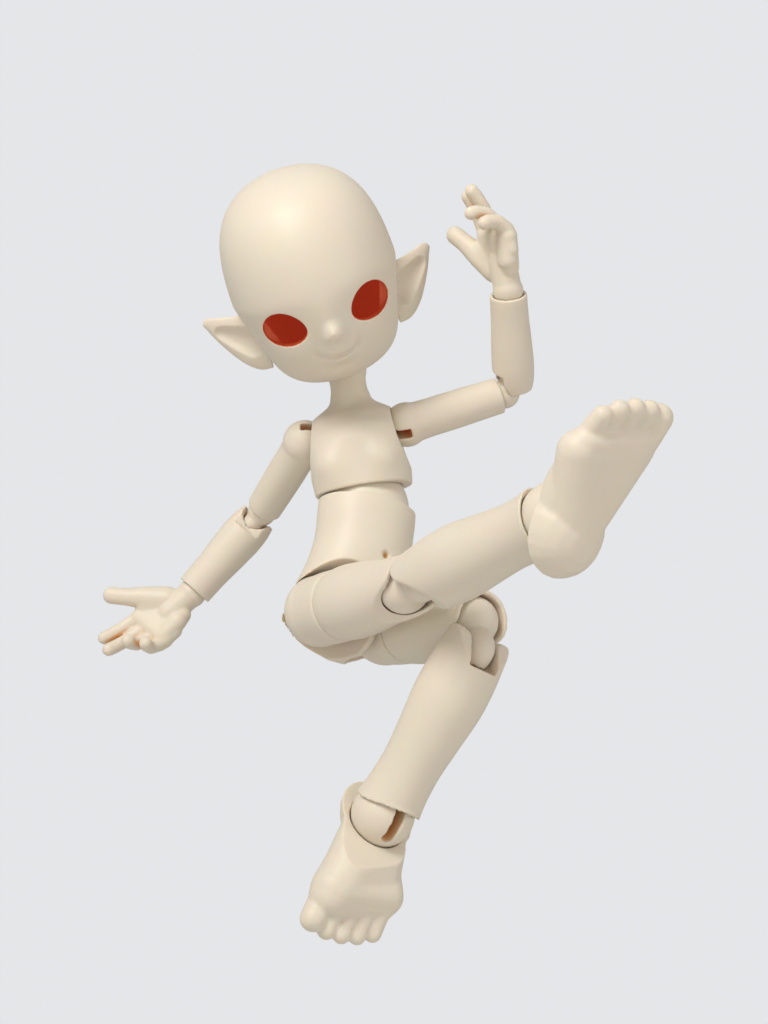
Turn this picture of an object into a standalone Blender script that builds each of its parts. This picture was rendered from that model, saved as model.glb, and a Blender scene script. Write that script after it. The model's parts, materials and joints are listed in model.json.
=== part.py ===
"""Ball jointed doll in its photographed pose: hollow resin pieces strung on elastic cord."""

import math

import bmesh
import bpy
import numpy as np
from mathutils import Matrix, Vector

# Clearances shared by every joint
GAP = 0.0003
WALL = 0.003
OVERRUN = 0.004
WELD = 0.000002

# Elastic cord and wire
CORD_RADIUS = 0.0011
CORD_BORE_RADIUS = 0.0018
CORD_CROSSING_RISE = 0.0185
SLOT_HALF_WIDTH = 0.0015
WIRE_RADIUS = 0.0005
HOOK_LOOP_WIDTH = 0.0014
HOOK_ROOM_RADIUS = 0.0035
NECK_HOOK_WIDTH = 0.0042
HAND_HOOK_WIDTH = 0.0008
HAND_HOOK_DEPTH = 0.0019

# Head
HEAD_WIDTH = 0.0490
HEAD_DEPTH = 0.0608
HEAD_HEIGHT = 0.0666
HEAD_RISE = 0.0302
HEAD_FORWARD = 0.003
CAP_SEAM_BACK = 0.0165
CAP_SEAM_LEAN = 15.0
EYE_APART = 0.0247
EYE_DROP = 0.0063
EYE_LENGTH = 0.0119
EYE_HEIGHT = 0.0098
EYE_SLANT = 20.0
EYE_BLUNT_SHARE = 0.16
EYE_FORWARD = 0.0247
EYE_WELL_RADIUS = 0.0075
NECK_BOSS_RADIUS = 0.0093
MAGNET_RADIUS = 0.0011
MAGNET_THICK = 0.0014
EAR_LENGTH = 0.0151
EAR_HEIGHT = 0.0178
EAR_THICK = 0.0048
EAR_TIP_RISE = 0.0085
EAR_DROP = 0.0136
EAR_BACK = 0.0040
EAR_SEAT = 0.0012

# Chest and neck
WAIST_RISE = 0.034
WAIST_BALL_RADIUS = 0.0122
CHEST_RIM_RISE = 0.0054
CHEST_WIDTH = 0.0315
CHEST_DEPTH = 0.0262
SHOULDER_RISE = 0.0227
SHOULDER_APART = 0.0304
NECK_RISE = 0.042
NECK_BALL_RADIUS = 0.0061

# Belly and hips
BELLY_RIM_RISE = 0.0003
HIP_WIDTH = 0.0432
HIP_DEPTH = 0.0275
HIP_APART = 0.0226
HIP_FOLD = 106.0
CROTCH_WALL = 0.0016
CROTCH_DROP = 0.0112

# Arms
SHOULDER_BALL_RADIUS = 0.0066
ARM_HANG = 25.0
UPPER_ARM_LENGTH = 0.0308
UPPER_ARM_RADIUS = 0.0054
UPPER_ARM_RIM_RISE = 0.0018
ELBOW_BALL_RADIUS = 0.0044
ELBOW_LOBE_RADIUS = 0.0042
ELBOW_LOBE_HALF_WIDTH = 0.0033
ELBOW_SPAN = 0.005
ELBOW_FOLD = 50.0
FOREARM_LENGTH = 0.028
FOREARM_WIDTH = 0.0132
FOREARM_DEPTH = 0.0122
FOREARM_EAR = 0.0028
WRIST_BALL_RADIUS = 0.0044
WRIST_RIM_RISE = 0.0012

# Hands
HAND_VOXEL = 0.00052
PALM_LENGTH = 0.0192
PALM_WIDTH = 0.0168
PALM_THICK = 0.0068
FINGER_RADIUS = 0.0019
THUMB_RADIUS = 0.0022

# Legs
HIP_BALL_RADIUS = 0.0102
THIGH_RADIUS = 0.0102
THIGH_SEAM_DROP = 0.0118
THIGH_LENGTH = 0.0424
THIGH_END_RADIUS = 0.0086
THIGH_PEG_RADIUS = 0.0062
THIGH_PEG_LENGTH = 0.0035
KNEE_BALL_RADIUS = 0.007
KNEE_LOBE_RADIUS = 0.0064
KNEE_LOBE_HALF_WIDTH = 0.0047
KNEE_SPAN = 0.0096
KNEE_FOLD = 62.0
KNEE_BACKWARD = 6.0
KNEE_FRONT = 42.0
SHIN_LENGTH = 0.0507
SHIN_RADIUS = 0.0088
ANKLE_BALL_RADIUS = 0.0086
ANKLE_RIM_RISE = 0.0026
ANKLE_RIM_SCOOP = 0.003

# Feet
FOOT_VOXEL = 0.0007
FOOT_LENGTH = 0.0445
FOOT_WIDTH = 0.0244
FOOT_RIM_DROP = 0.0035
FOOT_RIM_LEAN = 14.0
SOLE_DROP = 0.0138
TOE_RADIUS = 0.0019
BIG_TOE_RADIUS = 0.0032

# Pose in the photograph, degrees
WAIST_POSE = {"turn": -43.0, "tilt": -13.4, "bend": 12.3}
HEAD_POSE = {"turn": 4.2, "tilt": -10.5, "nod": 28.0}
RIGHT_ARM_POSE = {"swing": -52.1, "raise": 38.0, "elbow_turn": -34.5, "elbow": 22.3, "forearm": 21.5,
                  "hand_turn": -17.9, "hand_bend": -5.2, "hand_side": 5.3}
LEFT_ARM_POSE = {"swing": 50.2, "raise": 105.8, "elbow_turn": 1.5, "elbow": 45.4, "forearm": 38.0,
                 "hand_turn": -16.1, "hand_bend": 3.1, "hand_side": -19.0}
RIGHT_LEG_POSE = {"spread": 5.5, "swing": 88.3, "thigh_turn": 8.0, "knee": -4.5, "shin": -4.5,
                  "ankle": 41.0, "foot_turn": -14.0, "foot_tilt": -13.5}
LEFT_LEG_POSE = {"spread": 4.0, "swing": 83.5, "thigh_turn": 11.5, "knee": 61.0, "shin": 53.5,
                 "ankle": 43.7, "foot_turn": -9.2, "foot_tilt": -11.4}

# Mesh resolution
SIDES = 14
BALL_SIDES = 14
TRUNK_SIDES = 20
LEG_SIDES = 16
CORD_SIDES = 8
HEAD_SIDES = 28
HEAD_RINGS = 18
ROD_PHASE = 5.0

RESIN = (0.86, 0.76, 0.62, 1.0)
ELASTIC = (0.85, 0.83, 0.78, 1.0)
STEEL = (0.62, 0.62, 0.64, 1.0)

DOLL = "ball_jointed_doll"
CUTTERS = "cutters"


def clear_scene():
    for obj in list(bpy.data.objects):
        bpy.data.objects.remove(obj)
    for name in (DOLL, CUTTERS):
        made = bpy.data.collections.new(name)
        bpy.context.scene.collection.children.link(made)


def material(name, color, roughness, metallic=0.0):
    made = bpy.data.materials.new(name)
    made.use_nodes = True
    shader = made.node_tree.nodes["Principled BSDF"]
    shader.inputs["Base Color"].default_value = color
    shader.inputs["Roughness"].default_value = roughness
    shader.inputs["Metallic"].default_value = metallic
    return made


def frame(name, parent, at, *turns):
    """An empty on a joint: at is in the parent's frame, turns are (axis, degrees) applied in order."""
    empty = bpy.data.objects.new(name, None)
    bpy.data.collections[DOLL].objects.link(empty)
    matrix = Matrix.Translation(Vector(at))
    for axis, degrees in turns:
        matrix = matrix @ Matrix.Rotation(math.radians(degrees), 4, Vector(axis))
    empty.parent = parent
    empty.matrix_local = matrix
    return empty


# Mesh tools

def object_of(name, mesh, joint, color=RESIN, roughness=0.45, metallic=0.0):
    mesh.update()
    obj = bpy.data.objects.new(name, mesh)
    bpy.data.collections[DOLL].objects.link(obj)
    obj.parent = joint
    mesh.shade_smooth()
    mesh.set_sharp_from_angle(angle=math.radians(35))
    mesh.materials.append(material(name + "_finish", color, roughness, metallic))
    return obj


def mesh_of(bm, name):
    bmesh.ops.recalc_face_normals(bm, faces=bm.faces)
    mesh = bpy.data.meshes.new(name)
    bm.to_mesh(mesh)
    bm.free()
    return mesh


def as_tool(mesh, joint):
    """A hidden helper that cuts or joins."""
    obj = bpy.data.objects.new(mesh.name, mesh)
    bpy.data.collections[CUTTERS].objects.link(obj)
    obj.parent = joint
    obj.hide_render = True
    obj.display_type = "WIRE"
    return obj


def combine(piece, mesh, operation):
    tool = as_tool(mesh, piece.parent)
    step = piece.modifiers.new(mesh.name, "BOOLEAN")
    step.operation = operation
    step.object = tool
    return tool


def cut(piece, *meshes):
    for mesh in meshes:
        combine(piece, mesh, "DIFFERENCE")


def join(piece, *meshes):
    for mesh in meshes:
        combine(piece, mesh, "UNION")


def smooth(keys, count):
    """Rows of keys, sampled evenly along the first column by a smooth curve through them."""
    keys = np.array(keys, float)
    along = keys[:, 0]
    slopes = np.gradient(keys, along, axis=0)
    at = np.linspace(along[0], along[-1], count)
    k = np.clip(np.searchsorted(along, at, side="right") - 1, 0, len(along) - 2)
    span = (along[k + 1] - along[k])[:, None]
    u = (at - along[k])[:, None] / span
    rows = ((2 * u**3 - 3 * u**2 + 1) * keys[k] + (u**3 - 2 * u**2 + u) * span * slopes[k]
            + (3 * u**2 - 2 * u**3) * keys[k + 1] + (u**3 - u**2) * span * slopes[k + 1])
    rows[:, 0] = at
    return rows


def skin(name, stations, sides=SIDES, top=None, bottom=None, power=2.0, shape=None):
    """A closed loft down Z. A station is (z, half width, half depth, middle y); shape may move the points."""
    bm = bmesh.new()
    angles = np.linspace(0, 2 * math.pi, sides, endpoint=False)
    across = np.sign(np.cos(angles)) * np.abs(np.cos(angles)) ** (2 / power)
    front = np.sign(np.sin(angles)) * np.abs(np.sin(angles)) ** (2 / power)
    rings = []
    for z, half_width, half_depth, middle in stations:
        points = np.column_stack([half_width * across, middle + half_depth * front, np.full(sides, z)])
        if shape:
            points = shape(points)
        rings.append([bm.verts.new(p) for p in points])
    for upper, lower in zip(rings, rings[1:]):
        for i in range(sides):
            j = (i + 1) % sides
            bm.faces.new((upper[i], upper[j], lower[j], lower[i]))
    for ring, pole in ((rings[0], top), (rings[-1], bottom)):
        if pole is None:
            bm.faces.new(ring)
            continue
        middle = sum((v.co for v in ring), Vector()) / sides
        tip = bm.verts.new((middle.x, middle.y, pole))
        for i in range(sides):
            bm.faces.new((ring[i], ring[(i + 1) % sides], tip))
    return mesh_of(bm, name)


def ball_stations(radius, first, last, count):
    """Rings of a ball between two angles from its top pole, degrees."""
    angles = np.radians(np.linspace(first, last, count))
    return [(radius * math.cos(a), radius * math.sin(a), radius * math.sin(a), 0.0) for a in angles]


def add_ball(bm, radius, at, sides=BALL_SIDES, stretch=(1, 1, 1)):
    matrix = Matrix.Translation(Vector(at)) @ Matrix.Diagonal((*stretch, 1))
    bmesh.ops.create_uvsphere(bm, u_segments=sides, v_segments=sides // 2, radius=radius, matrix=matrix)


def ball(name, radius, at=(0, 0, 0), sides=BALL_SIDES, stretch=(1, 1, 1)):
    bm = bmesh.new()
    add_ball(bm, radius, at, sides, stretch)
    return mesh_of(bm, name)


def socket(name, radius, at=(0, 0, 0), sides=BALL_SIDES, stretch=(1, 1, 1)):
    """A ball for cutting: its faces stay clear of a true ball of the radius."""
    return ball(name, radius / math.cos(math.pi / sides) ** 2, at, sides, stretch)


def hull(name, *balls, sides=BALL_SIDES, outside=False):
    """The convex skin round balls given as (radius, place), clear of the true balls if outside."""
    grow = 1 / math.cos(math.pi / sides) ** 2 if outside else 1
    bm = bmesh.new()
    for radius, at in balls:
        add_ball(bm, radius * grow, at, sides)
    bmesh.ops.delete(bm, geom=bm.edges, context="EDGES_FACES")
    bmesh.ops.convex_hull(bm, input=bm.verts)
    bmesh.ops.delete(bm, geom=[v for v in bm.verts if not v.link_faces], context="VERTS")
    return mesh_of(bm, name)


def rod(name, radius, start, end, end_radius=None, sides=BALL_SIDES):
    start, end = Vector(start), Vector(end)
    along = end - start
    turn = Vector((0, 0, 1)).rotation_difference(along).to_matrix().to_4x4()
    turn = turn @ Matrix.Rotation(math.radians(ROD_PHASE), 4, "Z")
    bm = bmesh.new()
    bmesh.ops.create_cone(bm, cap_ends=True, segments=sides, radius1=radius,
                          radius2=radius if end_radius is None else end_radius,
                          depth=along.length, matrix=Matrix.Translation((start + end) / 2) @ turn)
    return mesh_of(bm, name)


def block(name, low, high, turn=None):
    low, high = Vector(low), Vector(high)
    bm = bmesh.new()
    bmesh.ops.create_cube(bm, size=1, matrix=Matrix.Translation((low + high) / 2)
                          @ Matrix.Diagonal((*(high - low), 1)))
    if turn is not None:
        bm.transform(turn)
    return mesh_of(bm, name)


def extruded(name, outline, half_width):
    """An outline of (y, z) points, carried along X to half_width each way."""
    bm = bmesh.new()
    sheet = bm.faces.new([bm.verts.new((-half_width, y, z)) for y, z in outline])
    walls = bmesh.ops.extrude_face_region(bm, geom=[sheet])["geom"]
    bmesh.ops.translate(bm, verts=[v for v in walls if isinstance(v, bmesh.types.BMVert)],
                        vec=(2 * half_width, 0, 0))
    return mesh_of(bm, name)


def cord_slot(piece, radius, first, last, half_width=SLOT_HALF_WIDTH):
    """The slot that lets the cord swing in a ball: degrees from the top towards the front of the piece."""
    reach = radius + OVERRUN
    sweep = np.radians(np.linspace(first, last, 7))
    outline = [(-reach * math.sin(a), reach * math.cos(a)) for a in sweep]
    middle = math.radians((first + last) / 2)
    root = half_width / 2
    outline.append((root * math.sin(middle), -root * math.cos(middle)))
    cut(piece, extruded(piece.name + "_slot", outline, half_width))
    cut(piece, ball(piece.name + "_slot_root", CORD_BORE_RADIUS, sides=12))
    for k, a in enumerate((first, last)):
        end = (0, -reach * math.sin(math.radians(a)), reach * math.cos(math.radians(a)))
        cut(piece, rod(f"{piece.name}_slot_end_{k}", half_width, (0, 0, 0), end, sides=12))


def nose_end(name, offset, front, back, reach, way):
    """Cutter past a limb's end: a round nose about the pivot, falling away at the front and the back."""
    angles = np.radians(np.linspace(-front, back, 7))
    nose = [(offset * math.sin(a), offset * math.cos(a)) for a in angles]
    first, last = angles[0], angles[-1]
    start = (nose[0][0] - reach * math.cos(first), nose[0][1] + reach * math.sin(first))
    end = (nose[-1][0] + reach * math.cos(last), nose[-1][1] - reach * math.sin(last))
    far = 3 * reach
    outline = [(-far, start[1]), start, *nose, end, (far, end[1]), (far, far), (-far, far)]
    if front == 0:
        outline = outline[1:]
        outline[-1] = (start[0], far)
    return extruded(name, [(y, way * z) for y, z in outline], reach)


def turned(points, degrees):
    """Points turned about X, towards the front at the top for positive degrees."""
    matrix = Matrix.Rotation(math.radians(degrees), 3, "X")
    return [tuple(matrix @ Vector(p)) for p in points]


def one_side(mesh, wall):
    """What a mesh leaves beyond the plane x = wall, on the plane's outer side."""
    bm = bmesh.new()
    bm.from_mesh(mesh)
    name = mesh.name
    bpy.data.meshes.remove(mesh)
    bmesh.ops.bisect_plane(bm, geom=[*bm.verts, *bm.edges, *bm.faces], dist=WELD, plane_co=(wall, 0, 0),
                           plane_no=(-1 if wall > 0 else 1, 0, 0), clear_outer=True)
    bmesh.ops.holes_fill(bm, edges=[e for e in bm.edges if e.is_boundary])
    return mesh_of(bm, name)


def capsule(name, joint, radius, start, end, color=ELASTIC):
    """A span of cord with round ends."""
    return object_of(name, hull(name, (radius, start), (radius, end), sides=CORD_SIDES), joint, color, 0.7)


def bent_rod(name, joint, radius, route, color, roughness, metallic=0.0):
    """A wire or cord along a route, made a mesh with its caps welded."""
    curve = bpy.data.curves.new(name, "CURVE")
    curve.dimensions = "3D"
    curve.bevel_depth = radius
    curve.bevel_resolution = 2
    curve.use_fill_caps = True
    spline = curve.splines.new("POLY")
    spline.points.add(len(route) - 1)
    for point, place in zip(spline.points, route):
        point.co = (*place, 1)
    guide = bpy.data.objects.new(name + "_guide", curve)
    bpy.data.collections[CUTTERS].objects.link(guide)
    bpy.context.view_layer.update()
    mesh = bpy.data.meshes.new_from_object(guide.evaluated_get(bpy.context.evaluated_depsgraph_get()))
    bpy.data.objects.remove(guide)
    bm = bmesh.new()
    bm.from_mesh(mesh)
    bmesh.ops.remove_doubles(bm, verts=bm.verts, dist=WELD)
    mesh = mesh_of(bm, name)
    return object_of(name, mesh, joint, color, roughness, metallic)


def blended(name, parts, voxel, rounds, faces_share):
    """Overlapping hulls remeshed into one smooth skin, then thinned to a share of its faces."""
    bm = bmesh.new()
    for k, balls in enumerate(parts):
        piece = hull(f"{name}_{k}", *balls, sides=14)
        bm.from_mesh(piece)
        bpy.data.meshes.remove(piece)
    source = bpy.data.objects.new(name, mesh_of(bm, name))
    bpy.data.collections[CUTTERS].objects.link(source)
    remesh = source.modifiers.new("remesh", "REMESH")
    remesh.mode = "VOXEL"
    remesh.voxel_size = voxel
    relax = source.modifiers.new("relax", "SMOOTH")
    relax.factor = 0.5
    relax.iterations = rounds
    thin = source.modifiers.new("thin", "DECIMATE")
    thin.ratio = faces_share
    bpy.context.view_layer.update()
    mesh = bpy.data.meshes.new_from_object(source.evaluated_get(bpy.context.evaluated_depsgraph_get()))
    bpy.data.objects.remove(source)
    mesh.name = name
    return mesh


# Head

HEAD_BUMPS_SHARES = (
    # across, up, spread across, spread up, forward: shares of the head's width and height
    (0.000, -0.205, 0.062, 0.048, 0.048),
    (0.000, -0.110, 0.090, 0.090, 0.006),
    (0.252, -0.095, 0.170, 0.100, -0.020),
    (0.270, -0.270, 0.180, 0.110, 0.026),
    (0.000, -0.320, 0.130, 0.070, 0.016),
    (0.000, -0.440, 0.130, 0.070, 0.018),
)


def head_points(toward, shrink=0.0):
    """Places on the head for unit directions: an egg with a narrow jaw, and the face's soft bumps."""
    x, y, z = toward.T
    low = np.clip(-z, 0, 1)
    high = np.clip(z, 0, 1)
    front = np.clip(-y, 0, 1)
    jaw = 1 - 0.37 * low + 0.60 * low**2 - 0.03 * high**2
    width = (HEAD_WIDTH / 2 - shrink) * jaw
    nape = 1 - 0.22 * low**1.5 * np.clip(y, 0, 1)
    depth = (HEAD_DEPTH / 2 - shrink) * np.where(y > 0, nape * 1.02, 0.98 - 0.03 * low)
    height = HEAD_HEIGHT / 2 - shrink
    points = np.column_stack([x * width, y * depth, z * height * (1 - 0.05 * low)])
    if shrink:
        return points
    flat = np.minimum(1, 2 * front)
    for across, up, wide, tall, forward in HEAD_BUMPS_SHARES:
        for side in (1, -1) if across else (1,):
            u = (points[:, 0] - side * across * HEAD_WIDTH) / (wide * HEAD_WIDTH)
            v = (points[:, 2] - up * HEAD_HEIGHT) / (tall * HEAD_HEIGHT)
            points[:, 1] -= flat * forward * HEAD_WIDTH * np.exp(-u**2 - v**2)
    return points


def head_mesh(name, sides, rings, shrink=0.0):
    """The egg as rings round a pole on the nose, closest together on the face."""
    bm = bmesh.new()
    polar = math.pi * np.linspace(0, 1, rings + 1)[1:-1] ** 1.25
    around = np.linspace(0, 2 * math.pi, sides, endpoint=False)
    rows = []
    for angle in polar:
        toward = np.column_stack([math.sin(angle) * np.cos(around), np.full(sides, -math.cos(angle)),
                                  math.sin(angle) * np.sin(around)])
        rows.append([bm.verts.new(p) for p in head_points(toward, shrink)])
    for near, far in zip(rows, rows[1:]):
        for i in range(sides):
            j = (i + 1) % sides
            bm.faces.new((near[i], near[j], far[j], far[i]))
    for row, pole in ((rows[0], -1), (rows[-1], 1)):
        tip = bm.verts.new(head_points(np.array([[0.0, pole, 0.0]]), shrink)[0])
        for i in range(sides):
            bm.faces.new((row[i], row[(i + 1) % sides], tip))
    return mesh_of(bm, name)


def seam_turn():
    return Matrix.Translation((0, CAP_SEAM_BACK, 0)) @ Matrix.Rotation(math.radians(-CAP_SEAM_LEAN), 4, "X")


def eye_cutter(name, side, sides=18):
    """A bar through the face with the eye's egg outline, blunt at the outer end."""
    bm = bmesh.new()
    bmesh.ops.create_cone(bm, cap_ends=True, segments=sides, radius1=EYE_LENGTH / 2, radius2=EYE_LENGTH / 2,
                          depth=HEAD_DEPTH / 3, matrix=Matrix.Rotation(math.radians(ROD_PHASE), 4, "Z"))
    for vert in bm.verts:
        blunt = 1 + EYE_BLUNT_SHARE * side * vert.co.x / (EYE_LENGTH / 2)
        vert.co.y *= blunt * EYE_HEIGHT / EYE_LENGTH
    bm.transform(Matrix.Translation((side * EYE_APART / 2, -HEAD_DEPTH * 0.42, -EYE_DROP))
                 @ Matrix.Rotation(math.radians(-side * EYE_SLANT), 4, "Y") @ Matrix.Rotation(math.pi / 2, 4, "X"))
    return mesh_of(bm, name)


def hollow_head(name, joint):
    """The whole head with its cavity, neck socket and slot, before the seam divides it."""
    shell = object_of(name, head_mesh(name, HEAD_SIDES, HEAD_RINGS), joint)
    cavity = combine(shell, head_mesh(name + "_cavity", 18, 10, WALL), "DIFFERENCE")
    neck = (0, HEAD_FORWARD, -HEAD_RISE)
    boss = as_tool(ball(name + "_boss", NECK_BOSS_RADIUS, neck), joint)
    floor = cavity.modifiers.new("boss", "BOOLEAN")
    floor.operation = "DIFFERENCE"
    floor.object = boss
    return shell


def make_head(joint):
    lead = OVERRUN + HEAD_HEIGHT
    behind = seam_turn()
    face = hollow_head("head_face", joint)
    cut(face, block("head_face_seam", (-lead, 0, -lead), (lead, lead, lead), behind))
    neck = Vector((0, HEAD_FORWARD, -HEAD_RISE))
    room = NECK_BALL_RADIUS + GAP
    flare = ("neck_flare", room + OVERRUN, neck - Vector((0, 0, OVERRUN)), neck, room)
    cut(face, socket("neck_socket", room, neck), rod(*flare),
        block("hook_slot", neck - Vector((SLOT_HALF_WIDTH, NECK_BALL_RADIUS, 0)),
              neck + Vector((SLOT_HALF_WIDTH, NECK_BALL_RADIUS, NECK_BOSS_RADIUS + OVERRUN))))
    for side, word in ((1, "left"), (-1, "right")):
        well = (side * 0.32 * EYE_APART, EYE_WELL_RADIUS + 0.9 * WALL - EYE_FORWARD, -0.8 * EYE_DROP)
        cut(face, eye_cutter(f"{word}_eye", side), ball(f"{word}_eye_well", EYE_WELL_RADIUS, well))
    cap = hollow_head("head_cap", joint)
    cut(cap, block("head_cap_seam", (-lead, -2 * lead, -lead), (lead, GAP, lead), behind),
        socket("cap_neck_socket", room, neck), rod(*flare))
    make_magnets(joint, face, cap, behind)
    for side, word in ((1, "left"), (-1, "right")):
        make_ear(f"ear_{word}", side, face, joint)


def make_magnets(joint, face, cap, behind):
    """One magnet pressed into each half of the seam, at the top of the wall."""
    height = 0.665 * HEAD_HEIGHT / 2
    for name, shell, way in (("head_magnet", face, -1), ("cap_magnet", cap, 1)):
        start = behind @ Vector((0, way * GAP, height))
        end = behind @ Vector((0, way * (GAP + MAGNET_THICK), height))
        outer = behind @ Vector((0, -way * OVERRUN, height))
        inner = behind @ Vector((0, way * (2 * GAP + MAGNET_THICK), height))
        object_of(name, rod(name, MAGNET_RADIUS, start, end, sides=16), joint, STEEL, 0.3, 1.0)
        cut(shell, rod(name + "_pocket", MAGNET_RADIUS + GAP / 2, outer, inner, sides=16))


EAR_SHARES = (
    # along, half height, half thickness, rise, back
    (0.00, 0.50, 0.50, 0.00, 0.00),
    (0.25, 0.49, 0.46, 0.04, 0.05),
    (0.50, 0.42, 0.40, 0.22, 0.16),
    (0.75, 0.29, 0.33, 0.56, 0.30),
    (0.92, 0.17, 0.26, 0.86, 0.40),
    (1.00, 0.08, 0.16, 1.00, 0.44),
)


def ear_mesh(name, side, rings, sides, grow=0.0):
    """The ear as a loft from its base on the head out to its pointed tip."""
    bm = bmesh.new()
    around = np.linspace(0, 2 * math.pi, sides, endpoint=False)
    start = HEAD_WIDTH / 2 * 0.80
    rows = []
    for along, tall, thick, rise, back in smooth(EAR_SHARES, rings):
        x = side * (start + along * EAR_LENGTH)
        y = EAR_BACK + back * EAR_LENGTH + thick * EAR_THICK * np.cos(around)
        z = -EAR_DROP + rise * EAR_TIP_RISE + (tall * EAR_HEIGHT + grow) * np.sin(around)
        rows.append([bm.verts.new((x, b, c)) for b, c in zip(y, z)])
    for near, far in zip(rows, rows[1:]):
        for i in range(sides):
            j = (i + 1) % sides
            bm.faces.new((near[i], near[j], far[j], far[i]))
    for row, out in ((rows[0], -1), (rows[-1], 1)):
        tip = bm.verts.new(sum((v.co for v in row), Vector()) / sides + Vector((side * out * EAR_THICK / 6, 0, 0)))
        for i in range(sides):
            bm.faces.new((row[i], row[(i + 1) % sides], tip))
    return mesh_of(bm, name)


def make_ear(name, side, face, joint):
    ear = object_of(name, ear_mesh(name, side, 8, 14), joint)
    middle = HEAD_WIDTH / 2 * 0.80 + 0.50 * EAR_LENGTH
    hollow = hull(name + "_hollow",
                  (EAR_THICK * 0.50, (side * (middle - 0.14 * EAR_LENGTH), EAR_BACK - 0.52 * EAR_THICK,
                                      -EAR_DROP - 0.10 * EAR_HEIGHT)),
                  (EAR_THICK * 0.26, (side * (middle + 0.34 * EAR_LENGTH), EAR_BACK - 0.02 * EAR_THICK,
                                      -EAR_DROP + 0.62 * EAR_TIP_RISE)), sides=12)
    cut(ear, hollow)
    bed = head_mesh(name + "_bed", HEAD_SIDES, HEAD_RINGS, EAR_SEAT)
    cut(ear, bed)
    seat = ear_mesh(name + "_seat", side, 4, 14, GAP)
    seat.transform(Matrix.Translation((0, EAR_BACK, -EAR_DROP)) @ Matrix.Diagonal((1, 1 + 4 * GAP / EAR_THICK, 1, 1))
                   @ Matrix.Translation((0, -EAR_BACK, EAR_DROP)))
    pocket = combine(face, seat, "DIFFERENCE")
    keep = pocket.modifiers.new("seat", "BOOLEAN")
    keep.operation = "DIFFERENCE"
    keep.object = as_tool(head_mesh(name + "_floor", HEAD_SIDES, HEAD_RINGS, EAR_SEAT + GAP), joint)


# Torso

CHEST_SHARES = (
    # height from the rim to the neck ball's middle, half width, half depth, forward
    (0.000, 0.452, 0.470, 0.010),
    (0.080, 0.462, 0.478, 0.012),
    (0.250, 0.482, 0.480, 0.020),
    (0.400, 0.492, 0.470, 0.014),
    (0.520, 0.480, 0.410, 0.000),
    (0.600, 0.425, 0.335, -0.010),
    (0.655, 0.330, 0.270, -0.014),
    (0.710, 0.228, 0.222, -0.014),
    (0.800, 0.180, 0.208, -0.010),
    (1.000, 0.175, 0.208, 0.000),
)


def make_chest(joint):
    """The chest and neck in one piece, open at the waist, at both shoulders and at the neck."""
    rim, neck = CHEST_RIM_RISE, NECK_RISE
    rows = [(rim + along * (neck - rim), wide * CHEST_WIDTH, deep * CHEST_DEPTH, -ahead * CHEST_DEPTH)
            for along, wide, deep, ahead in smooth(CHEST_SHARES, 15)]
    chest = object_of("chest", skin("chest", rows[::-1], sides=TRUNK_SIDES, power=2.25), joint)
    join(chest, ball("neck_ball", NECK_BALL_RADIUS, (0, 0, neck)))
    cut(chest, socket("waist_socket", WAIST_BALL_RADIUS + GAP, sides=TRUNK_SIDES),
        rod("neck_bore", CORD_BORE_RADIUS, (0, 0, 0), (0, 0, neck)),
        ball("hook_room", HOOK_ROOM_RADIUS, (0, 0, neck)),
        rod("hook_flare", CORD_BORE_RADIUS, (0, 0, neck), (0, 0, neck + NECK_BALL_RADIUS),
            NECK_BALL_RADIUS * 0.66))
    reach = SHOULDER_APART / 2
    cut(chest, rod("arm_bore", CORD_BORE_RADIUS, (-reach, 0, SHOULDER_RISE), (reach, 0, SHOULDER_RISE)),
        block("cord_room", (-reach / 3, -CORD_RADIUS, SHOULDER_RISE - 1.2 * CORD_BORE_RADIUS),
              (reach / 3, 3 * CORD_BORE_RADIUS, SHOULDER_RISE + 1.2 * CORD_BORE_RADIUS)))
    slope = 1 / math.tan(math.radians(ARM_HANG))
    base = reach - (UPPER_ARM_RADIUS + 2 * GAP) / math.cos(math.radians(ARM_HANG))
    start, outer = base + SHOULDER_BALL_RADIUS / slope, reach + OVERRUN
    for side, word in ((1, "left"), (-1, "right")):
        shoulder = (side * reach, 0, SHOULDER_RISE)
        cut(chest, socket(f"{word}_shoulder_socket", SHOULDER_BALL_RADIUS + GAP, shoulder),
            rod(f"{word}_shoulder_flare", (start - base) * slope, (side * start, 0, SHOULDER_RISE),
                (side * outer, 0, SHOULDER_RISE), (outer - base) * slope, sides=TRUNK_SIDES))
    return chest


PELVIS_SHARES = (
    # drop from the rim to the crotch, half width by the hips, half depth by the hips, forward
    (0.000, 0.338, 0.452, 0.000),
    (0.060, 0.338, 0.458, 0.006),
    (0.250, 0.336, 0.455, 0.012),
    (0.420, 0.372, 0.460, 0.014),
    (0.580, 0.430, 0.472, 0.004),
    (0.730, 0.486, 0.486, -0.014),
    (0.850, 0.492, 0.470, -0.024),
    (0.940, 0.400, 0.390, -0.030),
    (1.000, 0.180, 0.240, -0.030),
)


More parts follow.
